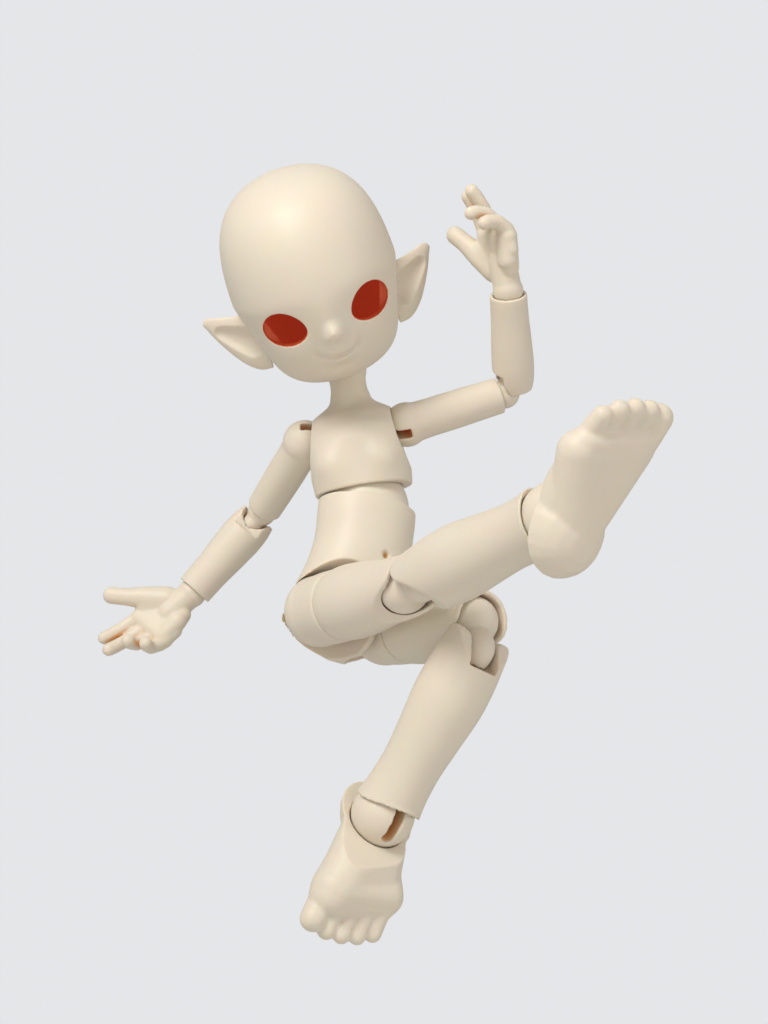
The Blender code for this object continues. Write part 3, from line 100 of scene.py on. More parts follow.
# Chest and neck
WAIST_RISE = 0.034
WAIST_BALL_RADIUS = 0.0122
CHEST_RIM_RISE = 0.0054
CHEST_WIDTH = 0.0315
CHEST_SQUARENESS = 2.25
CHEST_DEPTH = 0.0262
SHOULDER_RISE = 0.0227
SHOULDER_APART = 0.0304
NECK_RISE = 0.042
NECK_BALL_RADIUS = 0.0061

# Belly and hips
BELLY_RIM_RISE = 0.0003
HIP_WIDTH = 0.0432
PELVIS_SQUARENESS = 2.15
HIP_DEPTH = 0.0275
HIP_APART = 0.0226
HIP_FOLD = 104.5
CROTCH_WALL = 0.0016
CROTCH_DROP = 0.0112

# Arms
SHOULDER_BALL_RADIUS = 0.0066
SHOULDER_NECK_ANGLE = 118
SHOULDER_SLOT = (3, 124)
ARM_HANG = 25.0
UPPER_ARM_LENGTH = 0.0308
UPPER_ARM_RADIUS = 0.0054
UPPER_ARM_RIM_RISE = 0.0018
ELBOW_BALL_RADIUS = 0.0044
ELBOW_LOBE_RADIUS = 0.0042
ELBOW_LOBE_HALF_WIDTH = 0.0033
ELBOW_SPAN = 0.005
ELBOW_FOLD = 50.0
FOREARM_LENGTH = 0.028
FOREARM_WIDTH = 0.0132
FOREARM_DEPTH = 0.0122
FOREARM_EAR = 0.0028
WRIST_BALL_RADIUS = 0.0044
WRIST_RIM_RISE = 0.0012

# Hands
HAND_VOXEL = 0.00026
HAND_ROUNDS = 7
PALM_LENGTH = 0.0192
PALM_WIDTH = 0.0168
PALM_THICK = 0.0068
FINGER_RADIUS = 0.0020
THUMB_RADIUS = 0.0023

# Legs
HIP_BALL_RADIUS = 0.0102
THIGH_RADIUS = 0.0102
THIGH_SEAM_DROP = 0.0118
THIGH_LENGTH = 0.0424
THIGH_END_RADIUS = 0.0086
THIGH_PEG_RADIUS = 0.0062
THIGH_PEG_LENGTH = 0.0035
KNEE_BALL_RADIUS = 0.007
KNEE_LOBE_RADIUS = 0.0064
KNEE_LOBE_HALF_WIDTH = 0.0047
KNEE_SPAN = 0.0096
KNEE_FOLD = 62.0
KNEE_BACKWARD = 6.0
KNEE_FRONT = 42.0
SHIN_LENGTH = 0.0507
SHIN_RADIUS = 0.0088
ANKLE_BALL_RADIUS = 0.0086
ANKLE_RIM_RISE = 0.0026
ANKLE_RIM_SCOOP = 0.003

# Feet
FOOT_VOXEL = 0.00034
FOOT_ROUNDS = 13
FOOT_LENGTH = 0.0445
FOOT_WIDTH = 0.0258
FOOT_RIM_DROP = 0.0035
FOOT_RIM_LEAN = 14.0
SOLE_DROP = 0.0138
TOE_RADIUS = 0.0022
BIG_TOE_RADIUS = 0.0034

# Pose in the photograph, degrees
WAIST_POSE = {"turn": -43.0, "tilt": -13.4, "bend": 12.3}
HEAD_POSE = {"turn": 4.2, "tilt": -10.5, "nod": 28.0}
RIGHT_ARM_POSE = {"swing": -52.1, "raise": 38.0, "elbow_turn": -34.5, "elbow": 22.3, "forearm": 21.5,
                  "hand_turn": -17.9, "hand_bend": -5.2, "hand_side": 5.3}
LEFT_ARM_POSE = {"swing": 50.2, "raise": 105.8, "elbow_turn": 1.5, "elbow": 45.4, "forearm": 38.0,
                 "hand_turn": -16.1, "hand_bend": 3.1, "hand_side": -19.0}
RIGHT_LEG_POSE = {"spread": 5.5, "swing": 88.3, "thigh_turn": 8.0, "knee": -4.5, "shin": -4.5,
                  "ankle": 41.0, "foot_turn": -14.0, "foot_tilt": -13.5}
LEFT_LEG_POSE = {"spread": 4.0, "swing": 83.5, "thigh_turn": 11.5, "knee": 61.0, "shin": 53.5,
                 "ankle": 43.7, "foot_turn": -9.2, "foot_tilt": -11.4}

# The mouth, in shares of the head's width and height
MOUTH_HALF_SHARE = 0.112
MOUTH_UP_SHARE = -0.288
SMILE_SHARE = 0.022
LIP_SHARE = 0.022
LIP_FORWARD_SHARE = 0.027

# Mesh resolution
DENSE = 3
SIDES = 40
BALL_SIDES = 40
TRUNK_SIDES = 64
LEG_SIDES = 48
HEAD_SIDES = 224
HEAD_RINGS = 208
FACE_CROWDING = 1.25
CAVITY_SIDES = 64
CAVITY_RINGS = 40
EAR_SIDES = 48
EAR_RINGS = 24
EAR_HOLLOW_SIDES = 32
HULL_SIDES = 20
SMALL_SIDES = 24
ROD_PHASE = 3.0

DOLL = "ball_jointed_doll"
CUTTERS = "cutters"
X, Y, Z = (1, 0, 0), (0, 1, 0), (0, 0, 1)

# Colours, linear
RESIN = (0.79, 0.715, 0.60, 1)
# Painted light for the hollows: an orange painted glow, a deep red painted shade and glow, and a red glow that
# the hollows emit
PAINTED_GLOW_ORANGE = (0.80, 0.48, 0.22, 1)
PAINTED_SHADE_AND_GLOW_RED = (0.50, 0.09, 0.025, 1)
GLOW = (0.25, 0.030, 0.012, 1)
CORD_DARK = (0.55, 0.50, 0.42, 1)
CORD_LIGHT = (0.85, 0.82, 0.74, 1)
STEEL = (0.62, 0.62, 0.64, 1)
FLOOR = (0.80, 0.80, 0.79, 1)
BACKDROP = (0.78, 0.79, 0.81, 1)
DAYLIGHT = (1.0, 0.96, 0.90, 1)


def frame(name, parent, at, axis=Z, degrees=0):
    """An empty on a joint: its place is in the parent's frame, and it is turned about one axis."""
    empty = bpy.data.objects.new(name, None)
    bpy.data.collections[DOLL].objects.link(empty)
    empty.parent = parent
    turn = Matrix.Rotation(math.radians(degrees), 4, Vector(axis))
    empty.matrix_local = Matrix.Translation(spot(at)) @ turn
    return empty


def frames_down(parent, word, steps):
    """Frames one below another, by name. A step is a name, a place, and an axis and degrees if it turns."""
    made = {}
    for name, *place in steps:
        parent = made[name] = frame(name + word, parent, *place)
    return made


# Mesh tools

PIECES = {}


def object_of(name, mesh, joint):
    mesh.update()
    obj = bpy.data.objects.new(name, mesh)
    bpy.data.collections[DOLL].objects.link(obj)
    obj.parent = joint
    PIECES[name] = obj
    return obj


def mesh_of(bm):
    bmesh.ops.recalc_face_normals(bm, faces=bm.faces)
    mesh = bpy.data.meshes.new("mesh")
    bm.to_mesh(mesh)
    bm.free()
    return mesh


def combine(piece, mesh, operation="DIFFERENCE"):
    """Cuts a mesh from a piece, or joins it on, and gives the tool that holds the mesh."""
    tool = bpy.data.objects.new("tool", mesh)
    bpy.data.collections[CUTTERS].objects.link(tool)
    tool.parent = piece.parent
    step = piece.modifiers.new("step", "BOOLEAN")
    step.operation = operation
    step.solver = "MANIFOLD"
    step.object = tool
    return tool


def cut(piece, *meshes):
    for mesh in meshes:
        combine(piece, mesh)


def join(piece, *meshes):
    for mesh in meshes:
        combine(piece, mesh, "UNION")


def smooth(keys, count):
    """Rows of keys, sampled evenly along the first column by a smooth curve through them."""
    keys = np.array(keys, float)
    along = keys[:, 0]
    slopes = np.gradient(keys, along, axis=0)
    at = np.linspace(along[0], along[-1], count * DENSE)
    k = np.clip(np.searchsorted(along, at, side="right") - 1, 0, len(along) - 2)
    span = (along[k + 1] - along[k])[:, None]
    u = (at - along[k])[:, None] / span
    rows = ((2 * u**3 - 3 * u**2 + 1) * keys[k] + (u**3 - 2 * u**2 + u) * span * slopes[k]
            + (3 * u**2 - 2 * u**3) * keys[k + 1] + (u**3 - u**2) * span * slopes[k + 1])
    rows[:, 0] = at
    return rows


def loft(rings, tips):
    """A closed skin over rings of points. An end is a flat face, or a fan to the tip given for it."""
    bm = bmesh.new()
    rows = [[bm.verts.new(point) for point in ring] for ring in rings]
    for near, far in zip(rows, rows[1:]):
        for face in zip(near, near[1:] + near[:1], far[1:] + far[:1], far):
            bm.faces.new(face)
    for row, tip in zip((rows[0], rows[-1]), tips):
        if tip is None:
            bm.faces.new(row)
            continue
        tip = bm.verts.new(tip)
        for first, second in zip(row, row[1:] + row[:1]):
            bm.faces.new((first, second, tip))
    return mesh_of(bm)


def skin(stations, sides=SIDES, top=None, bottom=None, power=2.0, shape=None):
    """A closed loft down Z. A station is (z, half width, half depth, middle y); shape may move the points."""
    angles = np.linspace(0, 2 * math.pi, sides, endpoint=False)
    across = np.sign(np.cos(angles)) * np.abs(np.cos(angles)) ** (2 / power)
    front = np.sign(np.sin(angles)) * np.abs(np.sin(angles)) ** (2 / power)
    rings = []
    for z, half_width, half_depth, middle in stations:
        points = np.column_stack([half_width * across, middle + half_depth * front, np.full(sides, z)])
        rings.append(shape(points) if shape else points)
    tips = [None if pole is None else (*ring.mean(axis=0)[:2], pole)
            for ring, pole in ((rings[0], top), (rings[-1], bottom))]
    return loft(rings, tips)


def ball_stations(radius, first, last, count):
    """Rings of a ball between two angles from its top pole, degrees."""
    angles = np.radians(np.linspace(first, last, count * DENSE))
    return [(radius * math.cos(a), radius * math.sin(a), radius * math.sin(a), 0.0) for a in angles]


def spot(at):
    """A place given as a point, or as a height on Z alone."""
    return Vector((0, 0, at)) if isinstance(at, (int, float)) else Vector(at)


def add_ball(bm, radius, at, sides=BALL_SIDES, stretch=(1, 1, 1)):
    matrix = Matrix.Translation(spot(at)) @ Matrix.Diagonal((*stretch, 1))
    bmesh.ops.create_uvsphere(bm, u_segments=sides, v_segments=sides // 2, radius=radius, matrix=matrix)


def ball(radius, at=0, sides=BALL_SIDES, stretch=(1, 1, 1)):
    bm = bmesh.new()
    add_ball(bm, radius, at, sides, stretch)
    return mesh_of(bm)


def socket(radius, at=0, sides=BALL_SIDES, stretch=(1, 1, 1)):
    """A ball for cutting: its faces stay clear of a true ball of the radius."""
    return ball(radius / math.cos(math.pi / sides) ** 2, at, sides, stretch)


def hull(*balls, sides=BALL_SIDES, outside=False):
    """The convex skin round balls given as (radius, place), clear of the true balls if outside."""
    grow = 1 / math.cos(math.pi / sides) ** 2 if outside else 1
    bm = bmesh.new()
    for radius, at in balls:
        add_ball(bm, radius * grow, at, sides)
    bmesh.ops.delete(bm, geom=bm.edges, context="EDGES_FACES")
    bmesh.ops.convex_hull(bm, input=bm.verts)
    bmesh.ops.delete(bm, geom=[v for v in bm.verts if not v.link_faces], context="VERTS")
    return mesh_of(bm)


def rod(radius, start, end, end_radius=None, sides=BALL_SIDES):
    start, end = spot(start), spot(end)
    along = end - start
    turn = Vector(Z).rotation_difference(along).to_matrix().to_4x4()
    turn = turn @ Matrix.Rotation(math.radians(ROD_PHASE), 4, "Z")
    bm = bmesh.new()
    bmesh.ops.create_cone(bm, cap_ends=True, segments=sides, radius1=radius,
                          radius2=radius if end_radius is None else end_radius,
                          depth=along.length, matrix=Matrix.Translation((start + end) / 2) @ turn)
    return mesh_of(bm)


def bore(end, start=0.0):
    """The cord's way down a piece."""
    return rod(CORD_BORE_RADIUS, start, end)


def block(low, high, turn=None):
    low, high = Vector(low), Vector(high)
    bm = bmesh.new()
    bmesh.ops.create_cube(bm, size=1, matrix=Matrix.Translation((low + high) / 2)
                          @ Matrix.Diagonal((*(high - low), 1)))
    if turn is not None:
        bm.transform(turn)
    return mesh_of(bm)


def extruded(outline, half_width):
    """An outline of (y, z) points, carried along X to half_width each way."""
    bm = bmesh.new()
    sheet = bm.faces.new([bm.verts.new((-half_width, y, z)) for y, z in outline])
    walls = bmesh.ops.extrude_face_region(bm, geom=[sheet])["geom"]
    bmesh.ops.translate(bm, verts=[v for v in walls if isinstance(v, bmesh.types.BMVert)],
                        vec=(2 * half_width, 0, 0))
    return mesh_of(bm)


def cord_slot(piece, radius, first, last, half_width=SLOT_HALF_WIDTH):
    """The slot that lets the cord swing in a ball: degrees from the top towards the front of the piece."""
    reach = radius + OVERRUN
    sweep = np.radians(np.linspace(first, last, 7))
    outline = [(-reach * math.sin(a), reach * math.cos(a)) for a in sweep]
    middle = math.radians((first + last) / 2)
    root = half_width / 2
    outline.append((root * math.sin(middle), -root * math.cos(middle)))
    cut(piece, extruded(outline, half_width), ball(CORD_BORE_RADIUS, sides=SMALL_SIDES),
        *(rod(half_width, 0, (0, *end), sides=SMALL_SIDES) for end in (outline[0], outline[-2])))


def nose_end(offset, front, back, reach, way):
    """Cutter past a limb's end: a round nose about the pivot, falling away at the front and the back."""
    angles = np.radians(np.linspace(-front, back, 25))
    nose = [(offset * math.sin(a), offset * math.cos(a)) for a in angles]
    first, last = angles[0], angles[-1]
    start = (nose[0][0] - reach * math.cos(first), nose[0][1] + reach * math.sin(first))
    end = (nose[-1][0] + reach * math.cos(last), nose[-1][1] - reach * math.sin(last))
    far = 3 * reach
    outline = [(-far, start[1]), start, *nose, end, (far, end[1]), (far, far), (-far, far)]
    if front == 0:
        outline = outline[1:]
        outline[-1] = (start[0], far)
    return extruded([(y, way * z) for y, z in outline], reach)


def swung(radius, height, folds):
    """A ball at a height on Z, turned about X by each of the folds in degrees, as hull takes them."""
    return [(radius, Matrix.Rotation(math.radians(fold), 3, "X") @ spot(height)) for fold in folds]


def one_side(mesh, wall):
    """What a mesh leaves beyond the plane x = wall, on the plane's outer side."""
    bm = bmesh.new()
    bm.from_mesh(mesh)
    bpy.data.meshes.remove(mesh)
    bmesh.ops.bisect_plane(bm, geom=[*bm.verts, *bm.edges, *bm.faces], dist=WELD, plane_co=(wall, 0, 0),
                           plane_no=(-1 if wall > 0 else 1, 0, 0), clear_outer=True)
    bmesh.ops.holes_fill(bm, edges=[e for e in bm.edges if e.is_boundary])
    return mesh_of(bm)


def evaluated_mesh(obj):
    return bpy.data.meshes.new_from_object(obj.evaluated_get(bpy.context.evaluated_depsgraph_get()))


def remeshed(obj, voxel, rounds, keep=1.0):
    """The object's skin on an even grid, relaxed, and thinned to a share of its faces."""
    remesh = obj.modifiers.new("remesh", "REMESH")
    remesh.mode = "VOXEL"
    remesh.voxel_size = voxel
    relax = obj.modifiers.new("relax", "SMOOTH")
    relax.factor = 0.5
    relax.iterations = rounds
    if keep < 1:
        obj.modifiers.new("thin", "DECIMATE").ratio = keep
    bpy.context.view_layer.update()
    return evaluated_mesh(obj)


def blended(parts, voxel, rounds):
    """Overlapping hulls remeshed into one smooth skin."""
    bm = bmesh.new()
    for balls in parts:
        piece = hull(*balls, sides=HULL_SIDES)
        bm.from_mesh(piece)
        bpy.data.meshes.remove(piece)
    source = bpy.data.objects.new("source", mesh_of(bm))
    bpy.data.collections[CUTTERS].objects.link(source)
    mesh = remeshed(source, voxel, rounds)
    bpy.data.objects.remove(source)
    return mesh


# Head

HEAD_BUMPS_SHARES = (
    # across, up, spread across, spread up, forward: shares of the head's width and height
    (0.000, -0.172, 0.046, 0.038, 0.062),
    (0.036, -0.192, 0.028, 0.020, 0.020),
    (0.000, -0.100, 0.070, 0.080, 0.008),
    (0.252, -0.100, 0.170, 0.100, -0.018),
    (0.240, 0.000, 0.190, 0.070, 0.006),
    (0.275, -0.265, 0.170, 0.090, 0.030),
    (0.000, -0.285, 0.120, 0.060, 0.022),
    (0.000, -0.420, 0.120, 0.060, 0.018),
)


def mirrored(across):
    """The sides that a form is on: both, or one when it is on the middle plane."""
    return (1, -1) if across else (1,)


def head_points(toward, shrink=0.0):
    """Places on the head for unit directions: an egg with a narrow jaw, and the face's soft bumps."""
    x, y, z = toward.T
    low = np.clip(-z, 0, 1)
    high = np.clip(z, 0, 1)
    front = np.clip(-y, 0, 1)
    cheek = low**2 / (low + 0.12)
    jaw = 1 - 0.67 * cheek + 0.91 * low**2 + 0.26 * high**2
    width = (HEAD_WIDTH / 2 - shrink) * jaw
    nape = 1 - 0.22 * low**1.5 * np.clip(y, 0, 1)
    depth = (HEAD_DEPTH / 2 - shrink) * np.where(y > 0, nape * 1.02, 0.98 - 0.03 * cheek)
    depth *= 1 + 0.13 * high**2
    height = HEAD_HEIGHT / 2 - shrink
    points = np.column_stack([x * width, y * depth, z * height * (1 - 0.055 * cheek)])
    if shrink:
        return points
    flat = np.minimum(1, 2 * front)
    for across, up, wide, tall, forward in HEAD_BUMPS_SHARES:
        for side in mirrored(across):
            u = (points[:, 0] - side * across * HEAD_WIDTH) / (wide * HEAD_WIDTH)
            v = (points[:, 2] - up * HEAD_HEIGHT) / (tall * HEAD_HEIGHT)
            points[:, 1] -= flat * forward * HEAD_WIDTH * np.exp(-u**2 - v**2)
    points[:, 1] -= flat * mouth_relief(points)
    return points


def mouth_relief(points):
    """How far the closed, smiling mouth moves each point of the face forward, metres."""
    across = points[:, 0] / (MOUTH_HALF_SHARE * HEAD_WIDTH)
    line = (MOUTH_UP_SHARE + SMILE_SHARE * np.clip(across**2, 0, 1.6)) * HEAD_HEIGHT
    above = (points[:, 2] - line) / (LIP_SHARE * HEAD_HEIGHT)
    inside = np.exp(-np.abs(across) ** 5)
    lips = 0.55 * np.exp(-(above - 1.0) ** 2) * np.exp(-(1.6 * across) ** 2)
    lips += 1.00 * np.exp(-(above + 1.1) ** 2) * np.exp(-(1.9 * across) ** 2)
    crease = -1.15 * inside * np.exp(-(2.5 * above) ** 2)
    under = -0.60 * np.exp(-((above + 3.0) / 1.1) ** 2) * np.exp(-(1.5 * across) ** 2)
    corner = -0.70 * np.exp(-((np.abs(across) - 1.06) / 0.22) ** 2 - (above / 1.1) ** 2)
    groove = -0.25 * np.exp(-((above - 3.2) / 1.2) ** 2) * np.exp(-(5 * across) ** 2)
    return LIP_FORWARD_SHARE * HEAD_WIDTH * (lips + crease + under + corner + groove)


def head_mesh(sides=HEAD_SIDES, rings=HEAD_RINGS, shrink=0.0):
    """The egg as rings round a pole on the nose, closest together on the face."""
    polar = math.pi * np.linspace(0, 1, rings + 1)[1:-1] ** FACE_CROWDING
    around = np.linspace(0, 2 * math.pi, sides, endpoint=False)
    rows = [head_points(np.column_stack([math.sin(angle) * np.cos(around), np.full(sides, -math.cos(angle)),
                                         math.sin(angle) * np.sin(around)]), shrink) for angle in polar]
    return loft(rows, [head_points(np.array([[0.0, pole, 0.0]]), shrink)[0] for pole in (-1, 1)])


def seam_turn():
    return Matrix.Translation((0, CAP_SEAM_BACK, 0)) @ Matrix.Rotation(math.radians(-CAP_SEAM_LEAN), 4, "X")


def eye_place(side):
    """Where an eye lies on the face: its width along X, its height along Z."""
    return (Matrix.Translation((side * EYE_APART / 2, -HEAD_DEPTH * 0.42, -EYE_DROP))
            @ Matrix.Rotation(math.radians(-side * EYE_SLANT), 4, "Y"))


def eye_cutter(side, sides=64):
    """A bar through the face with the eye's egg outline, blunt at the outer end."""
    bm = bmesh.new()
    bmesh.ops.create_cone(bm, cap_ends=True, segments=sides, radius1=EYE_LENGTH / 2, radius2=EYE_LENGTH / 2,
                          depth=HEAD_DEPTH / 3, matrix=Matrix.Rotation(math.radians(ROD_PHASE), 4, "Z"))
    for vert in bm.verts:
        blunt = 1 + EYE_BLUNT_SHARE * side * vert.co.x / (EYE_LENGTH / 2)
        vert.co.y *= blunt * EYE_HEIGHT / EYE_LENGTH
    bm.transform(eye_place(side) @ Matrix.Rotation(math.pi / 2, 4, "X"))
    return mesh_of(bm)


def hollow_head(name, joint):
    """The whole head with its cavity, a boss left round the neck, before the seam divides it."""
    shell = object_of(name, head_mesh(), joint)
    cavity = combine(shell, head_mesh(CAVITY_SIDES, CAVITY_RINGS, WALL))
    combine(cavity, ball(NECK_BOSS_RADIUS, (0, HEAD_FORWARD, -HEAD_RISE)))
    return shell


def make_head(joint):
    lead = OVERRUN + HEAD_HEIGHT
    behind = seam_turn()
    face = hollow_head("head_face", joint)
    cut(face, block((-lead, 0, -lead), (lead, lead, lead), behind))
    neck = Vector((0, HEAD_FORWARD, -HEAD_RISE))
    room = NECK_BALL_RADIUS + GAP
    flare = (room + OVERRUN, neck - Vector((0, 0, OVERRUN)), neck, room)
    cut(face, socket(room, neck), rod(*flare),
        block(neck - Vector((SLOT_HALF_WIDTH, NECK_BALL_RADIUS, 0)),
              neck + Vector((SLOT_HALF_WIDTH, NECK_BALL_RADIUS, NECK_BOSS_RADIUS + OVERRUN))))
    for side in (1, -1):
        well = (side * 0.32 * EYE_APART, EYE_WELL_RADIUS + 0.9 * WALL - EYE_FORWARD, -0.8 * EYE_DROP)
        cut(face, eye_cutter(side), ball(EYE_WELL_RADIUS, well))
    cap = hollow_head("head_cap", joint)
    cut(cap, block((-lead, -2 * lead, -lead), (lead, GAP, lead), behind), socket(room, neck), rod(*flare))
    for side, word in ((1, "left"), (-1, "right")):
        make_ear(f"ear_{word}", side, face, joint)


EAR_SHARES = (
    # along, half height, half thickness, rise, back
    (0.00, 0.50, 0.50, 0.00, 0.00),
    (0.25, 0.49, 0.46, 0.04, 0.05),
    (0.50, 0.42, 0.40, 0.22, 0.16),
    (0.75, 0.29, 0.33, 0.56, 0.30),
    (0.92, 0.17, 0.26, 0.86, 0.40),
    (1.00, 0.08, 0.16, 1.00, 0.44),
)
EAR_HOLLOW_SHARES = (
    # radius by height, along and back by length, sunk by thickness, up by the tip's rise
    (0.37, 0.36, 0.10, 0.06, 0.10),
    (0.14, 0.80, 0.32, 0.08, 0.64),
)
EAR_ROOT_SHARE = 0.40


def ear_mesh(side, rings=EAR_RINGS, grow=0.0):
    """The ear as a loft from its base on the head out to its pointed tip."""
    around = np.linspace(0, 2 * math.pi, EAR_SIDES, endpoint=False)
    rows = []
    for along, tall, thick, rise, back in smooth(EAR_SHARES, rings):
        x = side * (EAR_ROOT_SHARE * HEAD_WIDTH + along * EAR_LENGTH)
        y = EAR_BACK + back * EAR_LENGTH + thick * EAR_THICK * np.cos(around)
        z = -EAR_DROP + rise * EAR_TIP_RISE + (tall * EAR_HEIGHT + grow) * np.sin(around)
        rows.append(np.column_stack([np.full(EAR_SIDES, x), y, z]))
    tips = [row.mean(axis=0) + (side * out * EAR_THICK / 6, 0, 0)
            for row, out in ((rows[0], -1), (rows[-1], 1))]
    return loft(rows, tips)


def make_ear(name, side, face, joint):
    """An ear with its hollow, seated a little way into the side of the head."""
    ear = object_of(name, ear_mesh(side), joint)
    scoops = []
    for radius, along, back, sink, rise in EAR_HOLLOW_SHARES:
        radius *= EAR_HEIGHT
        scoops.append((radius, (side * (EAR_ROOT_SHARE * HEAD_WIDTH + along * EAR_LENGTH),
                                EAR_BACK + back * EAR_LENGTH - sink * EAR_THICK - radius,
                                -EAR_DROP + rise * EAR_TIP_RISE)))
    cut(ear, hull(*scoops, sides=EAR_HOLLOW_SIDES), head_mesh(shrink=EAR_SEAT))
    seat = ear_mesh(side, EAR_RINGS // 2, GAP)
    seat.transform(Matrix.Translation((0, EAR_BACK, -EAR_DROP))
                   @ Matrix.Diagonal((1, 1 + 4 * GAP / EAR_THICK, 1, 1))
                   @ Matrix.Translation((0, -EAR_BACK, EAR_DROP)))
    combine(combine(face, seat), head_mesh(shrink=EAR_SEAT + GAP))


# Torso

CHEST_SHARES = (
    # height from the rim to the neck ball's middle, half width, half depth, forward
    (0.000, 0.452, 0.470, 0.010),
    (0.080, 0.462, 0.478, 0.012),
    (0.250, 0.482, 0.480, 0.020),
    (0.400, 0.492, 0.470, 0.014),
    (0.520, 0.480, 0.410, 0.000),
    (0.600, 0.425, 0.335, -0.010),
    (0.655, 0.330, 0.270, -0.014),
    (0.710, 0.228, 0.222, -0.014),
    (0.800, 0.180, 0.208, -0.010),
    (1.000, 0.175, 0.208, 0.000),
)


def make_chest(joint):
    """The chest and neck in one piece, open at the waist, at both shoulders and at the neck."""
    rim, neck = CHEST_RIM_RISE, NECK_RISE
    rows = [(rim + along * (neck - rim), wide * CHEST_WIDTH, deep * CHEST_DEPTH, -ahead * CHEST_DEPTH)
            for along, wide, deep, ahead in smooth(CHEST_SHARES, 15)]
    chest = object_of("chest", skin(rows[::-1], sides=TRUNK_SIDES, power=CHEST_SQUARENESS), joint)
    join(chest, ball(NECK_BALL_RADIUS, neck))
    cut(chest, socket(WAIST_BALL_RADIUS + GAP, sides=TRUNK_SIDES),
        bore(neck), ball(HOOK_ROOM_RADIUS, neck),
        rod(CORD_BORE_RADIUS, neck, neck + NECK_BALL_RADIUS, NECK_BALL_RADIUS * 0.66))
    reach = SHOULDER_APART / 2
    cut(chest, rod(CORD_BORE_RADIUS, (-reach, 0, SHOULDER_RISE), (reach, 0, SHOULDER_RISE)),
        block((-reach / 3, -CORD_RADIUS, SHOULDER_RISE - 1.2 * CORD_BORE_RADIUS),
              (reach / 3, 3 * CORD_BORE_RADIUS, SHOULDER_RISE + 1.2 * CORD_BORE_RADIUS)))
    slope = 1 / math.tan(math.radians(ARM_HANG))
    base = reach - (UPPER_ARM_RADIUS + 2 * GAP) / math.cos(math.radians(ARM_HANG))
    start, outer = base + SHOULDER_BALL_RADIUS / slope, reach + OVERRUN
    for side in (1, -1):
        shoulder = (side * reach, 0, SHOULDER_RISE)
        cut(chest, socket(SHOULDER_BALL_RADIUS + GAP, shoulder),
            rod((start - base) * slope, (side * start, 0, SHOULDER_RISE),
                (side * outer, 0, SHOULDER_RISE), (outer - base) * slope, sides=TRUNK_SIDES))


PELVIS_SHARES = (
    # drop from the rim to the crotch, half width by the hips, half depth by the hips, forward
    (0.000, 0.338, 0.452, 0.000),
    (0.060, 0.338, 0.458, 0.006),
    (0.250, 0.336, 0.455, 0.012),
    (0.420, 0.372, 0.460, 0.014),
    (0.580, 0.430, 0.472, 0.004),
    (0.730, 0.486, 0.486, -0.014),
    (0.850, 0.492, 0.470, -0.024),
    (0.940, 0.400, 0.390, -0.030),
    (1.000, 0.180, 0.240, -0.030),
)


def make_pelvis(joint):
    """The belly and hips in one piece, with the waist ball on top and a socket for each thigh."""
    top = WAIST_RISE + BELLY_RIM_RISE
    rows = [(top - along * (top + CROTCH_DROP), wide * HIP_WIDTH, deep * HIP_DEPTH, -ahead * HIP_DEPTH)
            for along, wide, deep, ahead in smooth(PELVIS_SHARES, 14)]
    pelvis = object_of("pelvis", skin(rows, sides=TRUNK_SIDES, power=PELVIS_SQUARENESS), joint)
    join(pelvis, ball(WAIST_BALL_RADIUS, WAIST_RISE, sides=TRUNK_SIDES))
    half = HIP_APART / 2
    dome = WAIST_RISE + WAIST_BALL_RADIUS
    crossing = Vector((0, 0, CORD_CROSSING_RISE))
    flare = WAIST_BALL_RADIUS * 0.42
    cut(pelvis, bore(dome + OVERRUN, CORD_CROSSING_RISE - CORD_RADIUS),
        rod(CORD_BORE_RADIUS, WAIST_RISE - CORD_RADIUS, dome, flare))
    for side in (1, -1):
        hip = Vector((side * half, 0, 0))
        sweep = [(radius, hip + place) for radius, place in swung(
            THIGH_RADIUS + GAP, -2 * HIP_BALL_RADIUS, (-HIP_FOLD, -HIP_FOLD / 2, -HIP_FOLD / 8, 0))]
        hollow = socket(HIP_BALL_RADIUS + GAP, hip, sides=TRUNK_SIDES)
        path = hull((THIGH_RADIUS + GAP, hip), *sweep, sides=LEG_SIDES, outside=True)
        cut(pelvis, one_side(hollow, side * CROTCH_WALL / 2), one_side(path, side * CROTCH_WALL / 2),
            rod(CORD_BORE_RADIUS, (side * half * 0.8, 0, HIP_BALL_RADIUS * 0.8),
                crossing + Vector((0, 0, side * CORD_RADIUS / 4))))
    cut(pelvis, ball(FINGER_RADIUS * 0.7, (0, -HIP_DEPTH * 0.46, WAIST_RISE / 2), sides=SMALL_SIDES))


# Arms

def make_upper_arm(name, joint):
    length, radius = UPPER_ARM_LENGTH, UPPER_ARM_RADIUS
    start = SHOULDER_BALL_RADIUS * math.cos(math.radians(SHOULDER_NECK_ANGLE))
    waist = SHOULDER_BALL_RADIUS * math.sin(math.radians(SHOULDER_NECK_ANGLE))
    end = -(length - UPPER_ARM_RIM_RISE)
    shape = ((start, waist), (0.22 * end, radius * 1.05), (0.45 * end, radius * 1.05),
             (0.75 * end, radius * 1.02), (end, radius * 0.99))
    keys = [(-z, z, r) for z, r in shape]
    rows = ball_stations(SHOULDER_BALL_RADIUS, 18, SHOULDER_NECK_ANGLE - 10, 6)
    rows += [(z, r, r, 0.0) for _, z, r in smooth(keys, 5)]
    arm = object_of(name, skin(rows, top=SHOULDER_BALL_RADIUS), joint)
    cut(arm, socket(ELBOW_BALL_RADIUS + GAP, -length), bore(-length))
    return arm


